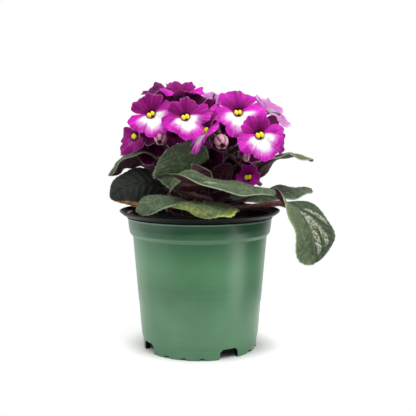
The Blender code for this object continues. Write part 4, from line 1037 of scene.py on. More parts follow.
def blade_grids(leaf, look, rows, columns):
    """The upper and lower skins of a blade as grids of points, its outward ways, and where each point lies."""
    line, base, length = leaf_line(leaf)
    step = np.linspace(0.0, 1.0, rows)
    t = (0.6 * step + 0.4 * np.sin(math.pi / 2 * step)) * 0.9985
    step = np.linspace(-1.0, 1.0, columns)
    v = 0.62 * step + 0.38 * np.sin(math.pi / 2 * step)
    centre, _ = follow(line, base + length * t)
    sections, ups, normals, ways = [], [], [], []
    for station in STATIONS:
        _, direction = follow(line, [base + length * station])
        direction = Vector(direction[0])
        up = square_to(face_at(leaf.faces, station), direction)
        right, up = np.array(direction.cross(up)), np.array(up)
        rolls = [a + (b - a) * min(3 * station, 1.0) for a, b in zip(*leaf.rolls)]
        roll = np.radians(np.where(v < 0, rolls[0], rolls[1]) + 0.01)
        bend, side = roll * np.abs(v), np.where(v < 0, -1.0, 1.0)
        outwards = right[None, :] * side[:, None]
        sections.append(outwards * (np.sin(bend) / roll)[:, None] - up * ((1 - np.cos(bend)) / roll)[:, None])
        normals.append(up * np.cos(bend)[:, None] + outwards * np.sin(bend)[:, None])
        ups.append(up)
        ways.append(np.array(direction))
    sections, normals = eased(STATIONS, sections, t), eased(STATIONS, normals, t)
    ups, ways = eased(STATIONS, ups, t)[:, None, :], eased(STATIONS, ways, t)[:, None, :]
    t, v = np.meshgrid(t, v, indexing="ij")
    far, side = np.abs(v), np.where(v < 0, -1.0, 1.0)
    half = leaf.width / 2 * blade_share(t, leaf.base, FULL_TIPS.get(leaf.name, 2.3))
    tooth = np.abs(np.sin(math.pi * look.teeth * (t + 0.02 * side))) ** 0.6 - 0.62
    half = half * (1 + look.tooth_depth * tooth * far**5)
    skin = centre[:, None, :] + sections * half[..., None]
    skin = skin + ups * (leaf.wave * np.sin(math.tau * leaf.waves * t + side) * v * v)[..., None]
    skin = skin - ways * (LOBE_SWEEP * length * v * v * (1 - t) ** 3)[..., None]
    way = np.cross(np.gradient(skin, axis=1), np.gradient(skin, axis=0))
    way /= np.maximum(np.linalg.norm(way, axis=-1, keepdims=True), 1e-12)
    way *= np.sign((way * normals).sum())
    slant = STEEP_VEINS.get(leaf.name, VEIN_SLANT)
    phase = (t - slant * far**VEIN_BEND * (1 - t)) * look.vein_pairs
    swell = np.abs(np.sin(math.pi * phase)) ** 0.75 * (1 - far**5) * np.minimum(far / 0.12, 1.0)
    swell = look.quilting * min(leaf.width / 0.036, 1.1) * (swell - 0.45) * np.minimum((1 - t) * 6, 1.0)
    swell = swell * SOFT_QUILTS.get(leaf.name, 1.0)
    swell = swell - 0.0004 * np.exp(-((v / 0.07) ** 2)) * (1 - t)
    skin = skin + way * swell[..., None]
    thick = look.thickness / 2 * np.sqrt(np.clip(1 - far**10, 0, 1))
    thick = thick * np.sqrt(np.clip(t * 30, 0, 1)) * np.sqrt(np.clip((1 - t / t.max()) * 40, 0, 1))
    return skin + way * thick[..., None], skin - way * thick[..., None], way, v, t


def add_leaf(pile, leaf, look, rows, columns, hairs, finishes, stalked=True):
    """Adds a leaf to a pile: its quilted blade, its stalk that runs on as a keel below, and its hairs."""
    green, fleshy, hairy = finishes
    upper, lower, way, v, t = blade_grids(leaf, look, rows, columns)
    points, faces = sheet(upper, lower)
    on_top = np.stack([v, t, np.zeros_like(v)], axis=-1)
    beneath = np.stack([v, t, np.ones_like(v)], axis=-1)
    blemish = leaf_marks(leaf, v, t)
    # Painted light on one half of some leaves
    pale = leaf.pale + PAINTED_LIGHT_HALVES.get(leaf.name, 0.0) * np.clip(v * 4, 0, 1)
    # Painted shade on the young leaves inside the crown and on the leaves in the painted shades
    shade = 0.55 if leaf.name.startswith("young") else PAINTED_SHADES.get(leaf.name, 0.0)
    tone = np.stack([pale, np.full_like(v, STEEP_VEINS.get(leaf.name, VEIN_SLANT)), np.full_like(v, shade)], axis=-1)
    pile.add(points, faces, green, blade=sheet_values(on_top, beneath), marks=sheet_values(blemish, blemish),
             tone=sheet_values(tone, tone))
    line, base, length = leaf_line(leaf)
    spots = np.linspace(0.0, base + 0.62 * length, max(rows // 2, 12))
    places, ways = follow(line, spots)
    _, first = follow(line, [base])
    up = square_to(face_at(leaf.faces, 0.0), Vector(first[0]))
    rings, draw = [], np.random.default_rng(len(leaf.name) * 7 + int(leaf.angle) % 360)
    stalk = STALK_RADIUS * min(leaf.width / 0.026, 1.0)
    for spot, place, ahead in zip(spots, places, ways):
        ahead = Vector(ahead)
        share = max(spot - base, 0.0) / length
        facing = square_to(face_at(leaf.faces, share) if spot > base else up, ahead)
        radius = stalk * (1.0 - 0.80 * (share / 0.62) ** 0.6) if spot > base else stalk
        radius *= 1 + 0.04 * math.sin(spot * 900)
        sink = min(max((spot - base) / 0.004 + 0.6, 0.0), 1.0) * radius * (0.55 + 0.65 * min(share * 7, 1.0))
        side = ahead.cross(facing)
        rings.append([place - np.array(facing) * sink + radius * np.array(
            side * math.cos(a) + facing * math.sin(a) * (0.86 if math.sin(a) > 0 else 1.0))
            for a in (math.tau * i / 14 for i in range(14))])
    if stalked:
        pile.add(*lofted(rings), fleshy)
    row, column = draw.integers(2, rows - 2, hairs), draw.integers(1, columns - 1, hairs)
    edge = draw.random(hairs) < 0.34
    column = np.where(edge, np.where(draw.random(hairs) < 0.5, 0, columns - 1), column)
    below = ((draw.random(hairs) < 0.10) & ~edge)[:, None]
    roots = np.where(below, lower[row, column], upper[row, column])
    beside = np.where(below, lower[row + 1, column], upper[row + 1, column])
    roots = roots + (beside - roots) * draw.random((hairs, 1))
    normal = way[row, column] * np.where(below, -1.0, 1.0)
    rim = upper[row, column] - upper[row, np.where(column == 0, 1, columns - 2)]
    rim = rim / np.maximum(np.linalg.norm(rim, axis=1, keepdims=True), 1e-9)
    headings = np.where(edge[:, None], rim + 0.45 * way[row, column], normal)
    headings = headings + draw.normal(0.0, 0.30, headings.shape)
    lengths = look.hair_length * draw.uniform(0.5, 1.3, hairs) * 0.8
    points, faces = spikes(roots, headings, lengths, 0.000035, draw)
    pile.add(points, faces, hairy)
    if not stalked:
        return
    rings = np.array(rings)[:max(int(len(rings) * 0.7), 6)]
    extra = hairs // 5
    one, two = draw.integers(1, len(rings), extra), draw.integers(0, 14, extra)
    points, faces = spikes(rings[one, two], rings[one, two] - rings.mean(axis=1)[one],
                           look.hair_length * draw.uniform(0.6, 1.3, extra), 0.000035, draw)
    pile.add(points, faces, hairy)


# The folded heart-shaped base of a leaf, as smaller blades that join it at its fold
LOBES = {
    "leaf_04_front_folded": (
        Leaf("lobe_over", -114, 0.1105, [], [(-0.0176, -0.0475, 0.1113), (-0.0135, -0.0497, 0.1164),
                                             (-0.0071, -0.0502, 0.1202), (0.0003, -0.0518, 0.1182),
                                             (0.0085, -0.0525, 0.1150)],
             [(-0.55, -0.55, 0.62), (-0.10, -0.62, 0.78), (0.15, -0.50, 0.85)], 0.0074, ((18, 10), (18, 10)),
             0.0003, 1.0, 0.55, 0.60, 0.0440),
        Leaf("lobe_under", -103, 0.1170, [], [(-0.0058, -0.0455, 0.1208), (-0.0042, -0.0452, 0.1170),
                                              (-0.0026, -0.0442, 0.1126), (-0.0018, -0.0425, 0.1085)],
             [(0.0, 0.95, -0.3), (0.0, 0.95, -0.3), (0.0, 0.95, -0.3)], 0.0230, ((10, 10), (10, 10)), 0.0004, 2.0,
             0.40, 0.50, 0.0400),
    ),
}


def leaf_piece(leaf, look, finishes):
    """One leaf as a piece."""
    pile = Pile()
    hairs = look.hairs // 8 if leaf.pale < -0.3 else look.hairs
    add_leaf(pile, leaf, look, 98, 59, hairs, (0, 1, 2))
    for lobe in LOBES.get(leaf.name, ()):
        add_leaf(pile, lobe, look, 50, 33, 300, (0, 1, 2), False)
    return pile.piece("blade" + leaf.name[4:], finishes, "leaf", leaf.name)


def bloom_axes(bloom):
    """Right, up and out of a bloom, as seen from in front."""
    out = Vector(bloom.facing).normalized()
    up = square_to(Vector((0, 0, 1)), out)
    up = Matrix.Rotation(math.radians(bloom.turn), 3, out) @ up
    return np.array(up.cross(out)), np.array(up), np.array(out)


def edge_draws(bloom):
    """Angles round a bloom, and how far its edge is longer and higher there, as in the frame's solid."""
    draw = random.Random(bloom.seed)
    angles, longer, higher = [], [], []
    for angle, half in FRAME_PETALS:
        for s in FRAME_COLUMNS:
            angles.append(math.radians(angle + s * half))
            longer.append(draw.uniform(-EDGE_JITTER, EDGE_JITTER))
            higher.append(draw.uniform(-RUFFLE, RUFFLE))
    return angles, longer, higher


def petal_grids(bloom, number, look, wide=PETAL_ACROSS, long=PETAL_ALONG):
    """Front and back skins of one petal as grids, with its marks."""
    right, up, out = bloom_axes(bloom)
    centre = np.array(bloom.centre)
    angle, half, share, kind, notch = PETALS[number]
    before, after = PETALS[number - 1], PETALS[(number + 1) % len(PETALS)]
    leans = np.radians(LEANS.get(bloom.name, bloom.lean))
    s, rho = np.meshgrid(np.sin(math.pi / 2 * np.linspace(-1, 1, wide)), np.linspace(0, 1, long) ** 0.9,
                         indexing="ij")
    far = np.abs(s)
    theta = np.radians(angle + s * half * (1 + look.overlap * np.minimum(rho * 3, 1)))
    floor = np.where(s < 0, notch, after[4])
    point = 2.2 if kind == 1 else 2.9
    reach = floor + (share - floor) * (1 - np.abs(s - TIP_LEAN[kind] * math.sin(bloom.seed)) ** point
                                       / (1 + TIP_LEAN[kind] * abs(math.sin(bloom.seed))) ** point) ** 0.55
    angles, longer, higher = edge_draws(bloom)
    reach = reach * bloom.size * (1 + np.interp(theta, angles, longer, period=math.tau))
    wander = bloom.seed * 1.7 + number * 2.3
    reach = reach * (1 + 0.05 * math.sin(2.1 * wander) * (1 - far**2))
    reach = np.maximum(reach * (1 + 0.042 * np.sin(5.2 * s + wander) + 0.024 * np.sin(12.0 * s + 2 * wander)),
                       1.5 * THROAT_RADIUS)
    beside = np.where(s < 0, leans[before[3]], leans[after[3]])
    settle_in = np.clip((1 - far) / 0.35, 0, 1)
    settle_in = settle_in * settle_in * (3 - 2 * settle_in)
    lean = (leans[kind] + beside) / 2 + (leans[kind] - beside) / 2 * settle_in
    ray = right * np.cos(theta)[..., None] + up * np.sin(theta)[..., None]
    onward = ray * np.cos(lean)[..., None] + out * np.sin(lean)[..., None]
    normal = out * np.cos(lean)[..., None] - ray * np.sin(lean)[..., None]
    rest = (reach - THROAT_RADIUS) * rho
    ripple = look.ripple * rho**2 * (1.9 * np.sin(4.6 * s + wander + rho) + 0.6 * rho * np.sin(9.5 * s + 3 * wander))
    lift = np.interp(theta, angles, higher, period=math.tau) * (reach / bloom.size) ** 2 * rho**2 + ripple
    lift = lift + LAYERS[kind] * far**3 * np.minimum(rho * 4, 1)
    lift = lift + bloom.size * (0.05 if kind == 0 else -0.045) * far**2 * rho - bloom.size * CURLS[kind] * rho**4
    lift = lift + bloom.size * 0.035 * np.sin(math.pi * rho) * (1 - far**2)
    crease = 0.00035 * np.exp(-((s / 0.10) ** 2)) * np.sin(math.pi * rho)
    lift = lift - crease
    skin = centre + ray * THROAT_RADIUS + onward * rest[..., None] + normal * lift[..., None]
    skin = skin - out * (THROAT_DEPTH * (1 - rho) ** 5)[..., None]
    thick = look.thickness / 2 * np.sqrt(np.clip(1 - rho**8, 0, 1) * np.clip(1 - far**12, 0, 1))
    thick = thick * np.sqrt(np.clip(rho * 14, 0, 1))
    along = rest / bloom.size
    much, strength = TONES.get(bloom.name, (1.0, 1.0))
    to_upper = s if number == 0 else -s
    if kind == 0:
        white, bright = np.zeros_like(s), 0.30 * np.clip(rho, 0, 1) ** 2
    elif kind == 1:
        white = 1.06 - along * 1.30 - 0.95 * np.clip((to_upper + 0.15) / 0.85, 0, 1) ** 1.2
        bright = 1.0 - 0.62 * np.clip(to_upper + 0.15, 0, 1) ** 1.2
    else:
        white, bright = 1.20 - along * 1.22 - 0.35 * far**3, np.ones_like(s)
    white = np.clip(white, 0, 1.1) * much
    bright = np.minimum(bright * strength, 1.0)
    # Blooms inside the head: no white, and painted dark as shade deep inside the head
    if bloom.name[0] == "i":
        white, bright = np.zeros_like(s), np.full_like(s, -0.6)
    zone = np.stack([bright, white, np.full_like(s, number * 3.1 + bloom.seed)], axis=-1)
    front = np.stack([s, rho, np.zeros_like(s)], axis=-1)
    back = np.stack([s, rho, np.full_like(s, 1.0 if bloom.name in LILAC_BACKS else 0.6)], axis=-1)
    return skin + normal * thick[..., None], skin - normal * thick[..., None], front, back, zone


def throat_funnel(bloom):
    """The short tube behind the petals, open in front as a small dark funnel."""
    right, up, out = bloom_axes(bloom)
    centre = np.array(bloom.centre)
    profile = ((0.0009, -0.0021), (0.0014, -0.0015), (THROAT_RADIUS * 0.98, -0.0010),
               (THROAT_RADIUS * 1.14, -0.00080), (THROAT_RADIUS * 1.14, -0.0011), (THROAT_RADIUS, -0.0015),
               (TUBE_RADIUS, -0.0022), (TUBE_RADIUS * 1.02, -0.0030), (TUBE_RADIUS * 0.85, -TUBE_DEPTH))
    rings = []
    for radius, depth in profile:
        rings.append([centre + out * depth + radius * (right * math.cos(a) + up * math.sin(a))
                      for a in (math.tau * i / 20 for i in range(20))])
    return lofted(rings)


def add_petals(pile, bloom, look, wide, long, finish):
    """Adds the five petals of a bloom to a pile, with its throat and tube."""
    for number in range(len(PETALS)):
        front, back, before, behind, zone = petal_grids(bloom, number, look, wide, long)
        points, faces = sheet(front, back)
        pile.add(points, faces, finish, petal=sheet_values(before, behind), zone=sheet_values(zone, zone))
    points, faces = throat_funnel(bloom)
    outer = np.array([0.0] * 100 + [1.0] * 80 + [0.0, 1.0])
    pile.add(points, faces, finish, petal=np.stack([outer * 0, outer * 0.5, outer], axis=-1),
             zone=(0.2, 0.0, float(bloom.seed)))


def corolla_piece(bloom, look, finishes):
    """The five petals of a bloom, its throat and tube, and the style beside its pollen sacs."""
    pile = Pile()
    add_petals(pile, bloom, look, PETAL_ACROSS, PETAL_ALONG, 0)
    right, up, out = bloom_axes(bloom)
    root = np.array(bloom.centre) - out * 0.0012 - up * 0.0008
    line = [root, root + out * 0.0016 - right * 0.0010 - up * 0.0004, root + out * 0.0030 - right * 0.0030 - up * 0.0010]
    rings = tube(line, (0.00022, 0.00020, 0.00030), 6, 9)
    points, faces = lofted(rings)
    pile.add(points, faces, 0, petal=(0.0, 0.6, 0.0), zone=(0.5, 0.0, 0.0))
    return pile.piece("petals_" + bloom.name, finishes, "petal", "corolla_" + bloom.name)


def sacs_piece(bloom, finishes):
    """The two grooved pollen sacs in a throat, leaning together."""
    pile = Pile()
    right, up, out = bloom_axes(bloom)
    centre = np.array(bloom.centre) + out * ANTHER_HEIGHT - up * 0.0002
    draw = random.Random(bloom.seed + 40)
    for side in (-1, 1):
        rings = []
        tilt = 0.7 * side + draw.uniform(-0.3, 0.3)
        middle = centre + right * side * 0.00120 + up * draw.uniform(-0.0003, 0.0003)
        for row in range(1, 13):
            polar = math.pi * row / 13
            ring = []
            for i in range(18):
                a = math.tau * i / 18
                groove = 1 - 0.42 * math.exp(-((math.cos(a) / 0.26) ** 2)) * math.sin(polar) * (math.sin(a) > 0)
                x = 0.00118 * math.sin(polar) * math.cos(a) * groove
                z = ANTHER_RADIUS * math.sin(polar) * math.sin(a) * groove
                y = 0.00150 * math.cos(polar)
                x, y = x + side * tilt * y * 0.5, y - side * tilt * x
                ring.append(middle + right * x + up * y + out * z)
            rings.append(ring)
        points, faces = lofted(rings)
        pile.add(points, faces, 0)
    return pile.piece("pollen_sacs_" + bloom.name, finishes, "anther", "anthers_" + bloom.name)


def sepal(end, out, ray, length, width):
    """One curved pointed sepal of a calyx."""
    side = np.cross(out, ray)
    root = end - out * 0.0008 + ray * 0.0004
    rings = []
    for step in np.linspace(0, 1, 11):
        place = root + ray * length * step + out * (0.0007 * math.sin(math.pi * step) - 0.0004 * step)
        wide = width / 2 * (1.15 * math.sin(math.pi * min(step + 0.30, 1.0)) ** 0.7 + 0.06) if step < 0.99 else 0.00008
        thick = SEPAL_THICKNESS / 2 * (1 - 0.75 * step)
        ring = []
        for i in range(10):
            a = math.tau * i / 10
            cup = 0.22 * wide * abs(math.cos(a)) ** 2
            ring.append(place + side * wide * math.cos(a) + out * (thick * math.sin(a) + cup))
        rings.append(ring)
    return rings


def stalk_shapes(head, end, out, right, up, calyx_radius, seed):
    """Rings of a flower stalk with its calyx."""
    reach = np.linalg.norm(end - head)
    bend = end - out * reach * 0.35
    radii = (PEDICEL_RADIUS * 1.15, PEDICEL_RADIUS, PEDICEL_RADIUS, PEDICEL_RADIUS * 1.2, calyx_radius)
    shapes = [tube([head, bend, end], radii, 10, 26, 0.03, seed)]
    for number in range(5):
        a = math.tau * (number + 0.5) / 5
        shapes.append(np.array(sepal(end, out, right * math.cos(a) + up * math.sin(a), SEPAL_LENGTH, SEPAL_WIDTH)))
    return shapes


def spray_piece(spray, look, finishes):
    """One stem with the flower stalks, small bracts and calyxes that branch from it, and its hairs."""
    pile = Pile()
    root = CROWN_CENTRE + Vector((*spray.root, CROWN_TOP_HEIGHT + 2 * TOUCH_GAP))
    points = [root, root + Vector((0, 0, 0.004)), *(Vector(point) for point in spray.stem)]
    head = points[-1]
    below = np.array(head.lerp(points[-2], 0.12))
    stalks = [tube(points, [STEM_RADIUS * 1.1, STEM_RADIUS, STEM_RADIUS, STEM_RADIUS * 1.05], 12, 40, 0.03, 3)]
    calyxes = []
    ends = [(np.array(b.centre), *bloom_axes(b), TUBE_DEPTH)
            for b in (*(b for b in BLOOMS if b.name in spray.blooms), *INNER[spray.name])]
    for bud in (b for b in BUDS if b.name in spray.buds):
        out = Vector(bud.facing).normalized()
        up = square_to(Vector((0, 0, 1)), out)
        ends.append((np.array(bud.centre), np.array(up.cross(out)), np.array(up), np.array(out), bud.length / 2))
    for number, (centre, right, up, out, depth) in enumerate(ends):
        end = centre - out * (depth + TOUCH_GAP)
        shapes = stalk_shapes(below, end, out, right, up, CALYX_RADIUS, number + 5)
        stalks.append(shapes[0])
        calyxes += shapes[1:]
    stem_way = np.array((head - points[-2]).normalized())
    across = np.array(square_to(Vector((0.6, -0.7, 0.1)), Vector(stem_way)))
    for turn in (1, -1):
        calyxes.append(np.array(sepal(below, -stem_way * turn * 0.2 + across * 0.1, across * turn, 0.0042, 0.0018)))
    for rings in stalks:
        pile.add(*lofted(rings), 0)
    for rings in calyxes:
        pile.add(*lofted(rings), 1)
    for bloom in INNER[spray.name]:
        add_petals(pile, bloom, bpy.context.scene.violet_bloom, 15, 9, 3)
    draw = np.random.default_rng(17)
    weights = np.array([len(rings) for rings in stalks + calyxes], float)
    for rings, share in zip(stalks + calyxes, weights / weights.sum()):
        number = max(int(look.hairs * share), 4)
        one, two = draw.integers(1, len(rings) - 1, number), draw.integers(0, rings.shape[1], number)
        middle = rings.mean(axis=1)[one]
        roots = rings[one, two] + (rings[one - 1, two] - rings[one, two]) * draw.random((number, 1))
        headings = rings[one, two] - middle + draw.normal(0.0, 0.0003, (number, 3))
        points_, faces = spikes(roots, headings, look.hair_length * draw.uniform(0.5, 1.2, number), 0.00003, draw)
        pile.add(points_, faces, 2)
    return pile.piece("flower_stalks" + spray.name[5:], finishes, "stalk", spray.name)


def bud_piece(bud, look, finishes):
    """A bud of five petals folded over each other, its tip still closed or just opening."""
    pile = Pile()
    out = Vector(bud.facing).normalized()
    up = square_to(Vector((0, 0, 1)), out)
    right, up, out = np.array(up.cross(out)), np.array(up), np.array(out)
    centre = np.array(bud.centre)
    profile = [(-0.5, 0.35), (-0.42, 0.62), (-0.3, 0.84), (-0.15, 0.96), (0.0, 1.0), (0.15, 0.97), (0.28, 0.90),
               (0.40, 0.74)]
    if bud.open:
        profile += [(0.475, 0.58), (0.50, 0.44), (0.47, 0.31), (0.36, 0.22), (0.22, 0.15)]
    else:
        profile += [(0.46, 0.52), (0.50, 0.24), (0.52, 0.08)]
    steps = np.linspace(0, len(profile) - 1, 40)
    places = np.interp(steps, range(len(profile)), [place for place, _ in profile])
    swells = np.interp(steps, range(len(profile)), [swell for _, swell in profile])
    rings, folds = [], []
    for step, place, swell in zip(steps / steps[-1], places, swells):
        ring = []
        for i in range(60):
            a = math.tau * i / 60
            lobe = abs(math.sin(2.5 * a + 1.4 * place + 0.3))
            depth = 0.30 * min(step * 2.2, 1.0) * (1 - lobe) ** 2.2
            wrinkle = 0.025 * math.sin(15 * a + 3 * place)
            radius = bud.width / 2 * swell * (1 - depth + wrinkle)
            ring.append(centre + out * bud.length * (place + 0.05 * (lobe - 0.5) * step) + radius * (
                right * math.cos(a) + up * math.sin(a)))
            inside = bud.open and step > 0.76
            # Painted shade: darkest in the fold valleys and inside an opening tip
            folds.append((1.0 if inside else min((1 - lobe) ** 2.0 * 1.3, 1.0) * min(step * 2, 1.0), 0.0, 0.0))
        rings.append(ring)
    points, faces = lofted(rings)
    folds += [(0.0, 0.0, 0.0), (1.0, 0.0, 0.0)]
    pile.add(points, faces, 0, fold=np.array(folds))
    draw = np.random.default_rng(23)
    rings = np.array(rings)
    one, two = draw.integers(4, 26, 260), draw.integers(0, 60, 260)
    headings = rings[one, two] - rings.mean(axis=1)[one]
    points, faces = spikes(rings[one, two], headings, look.hair_length * draw.uniform(0.4, 0.9, 260), 0.00003, draw)
    pile.add(points, faces, 1)
    return pile.piece("folded_" + bud.name, finishes, "bud", bud.name)


def young_leaf(number, heading, lift, length, width, height):
    """A young leaf that stands up out of the crown."""
    way = Vector((math.cos(math.radians(heading)), math.sin(math.radians(heading)), 0.0))
    root = CROWN_CENTRE + way * 0.0062 + Vector((0, 0, height))
    steps = ((0.22, 0.16), (0.45, 0.42), (0.72, 0.74), (1.0, 1.0))
    rib = [root + way * length * out * math.cos(lift) + Vector((0, 0, length * up * math.sin(lift)))
           for out, up in steps]
    face = -way * math.sin(lift) + Vector((0, 0, math.cos(lift)))
    return Leaf(f"young_{number}", heading, height, [], rib, [face, face, face - way * 0.3], width,
                ((-30, -30), (-12, -12)), 0.0006, 2.0, pale=-0.25, root=0.0062)


def crown_piece(look, finishes):
    """The short stem with its neck in the mix, ringed by the scars of old leaves, with its young leaves."""
    pile = Pile()
    centre = np.array(CROWN_CENTRE)
    neck = HOLE_RADIUS - TOUCH_GAP
    profile = ((0.0057, 0.0742), (neck * 0.94, 0.0760), (neck, 0.0880), (neck, CROWN_FOOT_HEIGHT - 0.0010),
               (0.0075, CROWN_FOOT_HEIGHT), (0.0088, CROWN_FOOT_HEIGHT + 0.0012), (CROWN_RADIUS, 0.0950),
               (0.0087, 0.0985), (CROWN_RADIUS * 0.99, 0.1020), (0.0084, CROWN_TOP_HEIGHT - 0.0014),
               (0.0066, CROWN_TOP_HEIGHT - 0.0003), (0.0040, CROWN_TOP_HEIGHT - 0.0001))
    steps = np.linspace(0, len(profile) - 1, 54)
    radii = np.interp(steps, range(len(profile)), [radius for radius, _ in profile])
    heights = np.interp(steps, range(len(profile)), [height for _, height in profile])
    rings = []
    for radius, height in zip(radii, heights):
        ring = []
        for i in range(72):
            a = math.tau * i / 72
            scar = 0.05 * math.sin(8 * a + height * 900) * (height > CROWN_FOOT_HEIGHT)
            rough = 0.06 * noise.noise(Vector((math.cos(a) * 3, math.sin(a) * 3, height * 300)))
            size = min(radius * (1 - abs(scar) + rough * 0.5), radius)
            ring.append(centre + np.array([size * math.cos(a), size * math.sin(a), height]))
        rings.append(ring)
    pile.add(*lofted(rings), 0)
    for number, (heading, lift, length, width, height) in enumerate(YOUNG):
        leaf = young_leaf(number, heading, math.radians(lift), length, width, height)
        add_leaf(pile, leaf, bpy.context.scene.violet_leaf, 44, 27, 120, (1, 0, 2))
    return pile.piece("short_crown", finishes, "stalk", "crown")


# Young leaves in the crown: heading, lift, length, width and height of their roots
YOUNG = (
    (-60, 48, 0.030, 0.020, 0.103), (-125, 52, 0.032, 0.021, 0.103), (-15, 50, 0.034, 0.022, 0.103),
    (165, 50, 0.030, 0.020, 0.103), (110, 55, 0.036, 0.026, 0.103), (50, 55, 0.038, 0.028, 0.103),
    (-92, 66, 0.028, 0.018, 0.103), (20, 68, 0.038, 0.024, 0.103), (85, 70, 0.036, 0.024, 0.103),
    (140, 66, 0.036, 0.024, 0.103), (62, 14, 0.036, 0.028, 0.096), (100, 14, 0.036, 0.028, 0.096),
    (150, 16, 0.032, 0.024, 0.096), (22, 12, 0.036, 0.024, 0.096), (-55, 30, 0.020, 0.016, 0.098),
    (-110, 30, 0.020, 0.016, 0.098),
)


def pot_profile(look):
    """The pot's outer skin from the edge of its lip down to the middle of its base, with its edges rounded."""
    return (
        (LIP_RADIUS - 0.00035, LIP_HEIGHT + 0.00002),
        (LIP_RADIUS - 0.00008, LIP_HEIGHT - 0.00015),
        (LIP_RADIUS, LIP_HEIGHT - 0.00050),
        (LIP_RADIUS - 0.00020, LIP_HEIGHT - 0.00095),
        (LIP_RADIUS - 0.00070, LIP_HEIGHT - 0.00145),
        (0.0518, 0.09060),
        (0.0498, 0.08945),
        (COLLAR_TOP_RADIUS + 0.00005, COLLAR_TOP_HEIGHT + 0.00075),
        (COLLAR_TOP_RADIUS - 0.00015, COLLAR_TOP_HEIGHT + 0.00035),
        (COLLAR_TOP_RADIUS + look.edge, COLLAR_TOP_HEIGHT + 0.00020),
        (COLLAR_TOP_RADIUS + look.edge, COLLAR_TOP_HEIGHT - 0.00035),
        (COLLAR_TOP_RADIUS - 0.00010, COLLAR_TOP_HEIGHT - 0.00070),
        (0.0482, 0.08400),
        (COLLAR_FOOT_RADIUS + 0.00035, COLLAR_FOOT_HEIGHT - 0.00050),
        (COLLAR_FOOT_RADIUS + 0.00015, COLLAR_FOOT_HEIGHT - 0.00110),
        (BEAD_RADIUS + 0.00045, BEAD_HEIGHT + 0.00030),
        (BEAD_RADIUS + 0.00045, BEAD_HEIGHT - 0.00005),
        (BEAD_RADIUS - 0.00010, BEAD_HEIGHT - 0.00055),
        (WALL_TOP_RADIUS + 0.00012, WALL_TOP_HEIGHT + 0.00020),
        (WALL_TOP_RADIUS - 0.00002, WALL_TOP_HEIGHT - 0.00070),
        (0.0440, 0.06000),
        (0.0424, 0.04000),
        (0.0408, 0.02100),
        (WALL_FOOT_RADIUS + 0.00010, WALL_FOOT_HEIGHT + 0.00100),
        (WALL_FOOT_RADIUS - 0.00005, WALL_FOOT_HEIGHT - 0.00060),
        (CREASE_RADIUS + 0.00020, CREASE_HEIGHT + 0.00080),
        (CREASE_RADIUS - 0.00010, CREASE_HEIGHT),
        (FOOT_RING_OUTER + FOOT_SLOPE, CREASE_HEIGHT - 0.0008),
        (FOOT_RING_OUTER + 0.00015, 0.0024),
        (FOOT_RING_OUTER, 0.00015),
        (FOOT_RING_OUTER - 0.0002, 0.0),
        (FOOT_RING_INNER + 0.0002, 0.0),
        (FOOT_RING_INNER, 0.00015),
        (BASE_RADIUS, BASE_HEIGHT),
        (0.0, BASE_HEIGHT),
    )


def worn_and_lit_at(height, radius):
    """How rubbed the pot's outer skin is at this height, and where a painted highlight lies: along the collar's top
    edge and the bead below it.
    """
    top = math.exp(-(((height - COLLAR_TOP_HEIGHT) / 0.00045) ** 2))
    bead = math.exp(-(((height - BEAD_HEIGHT - 0.0001) / 0.00030) ** 2))
    return min(0.80 * top + 0.34 * bead, 1.0)


def cutters(collection):
    """Cutters for the drainage cut-outs, scallops and holes."""
    middle = (FOOT_RING_OUTER + FOOT_RING_INNER) / 2
    for quarter in range(NOTCH_COUNT):
        turn = math.tau * quarter / NOTCH_COUNT
        block = bmesh.new()
        size = Matrix.Diagonal((CUTTER_DEPTH, NOTCH_WIDTH, 2 * NOTCH_HEIGHT, 1.0))
        bmesh.ops.create_cube(block, size=1.0, matrix=size)
        for vert in block.verts:
            if vert.co.z > 0:
                vert.co.y *= NOTCH_TAPER
        corners = [e for e in block.edges if all(v.co.z > 0 for v in e.verts) and abs(
            e.verts[0].co.x - e.verts[1].co.x) > 0.001]
        bmesh.ops.bevel(block, geom=corners, offset=0.0012, segments=4, affect="EDGES")
        place_cutter(block, f"notch_{quarter}", turn + NOTCH_FIRST_ANGLE, middle, 0.0, collection)
        bore = bmesh.new()
        bmesh.ops.create_cone(bore, cap_ends=True, segments=32, radius1=DRAIN_RADIUS, radius2=DRAIN_RADIUS,
                              depth=CUTTER_DEPTH * 0.6)
        place_cutter(bore, f"drain_{quarter}", turn + NOTCH_FIRST_ANGLE, DRAIN_CIRCLE, BASE_HEIGHT, collection)
        for number, angle in enumerate(SCALLOP_ANGLES):
            bar = bmesh.new()
            bmesh.ops.create_cone(bar, cap_ends=True, segments=28, radius1=SCALLOP_RADIUS, radius2=SCALLOP_RADIUS,
                                  depth=CUTTER_DEPTH, matrix=Matrix.Rotation(math.pi / 2, 4, "Y"))
            place_cutter(bar, f"scallop_{quarter}_{number}", turn + angle, middle, SCALLOP_HEIGHT - SCALLOP_RADIUS,
                         collection)


def place_cutter(body, name, angle, radius, height, collection):
    """Puts a cutter across the foot ring at this angle."""
    mesh = bpy.data.meshes.new(name)
    body.to_mesh(mesh)
    body.free()
    cutter = bpy.data.objects.new(name, mesh)
    collection.objects.link(cutter)
    cutter.rotation_euler = (0.0, 0.0, angle)
    cutter.location = POT_AXIS + Vector((radius * math.cos(angle), radius * math.sin(angle), height))


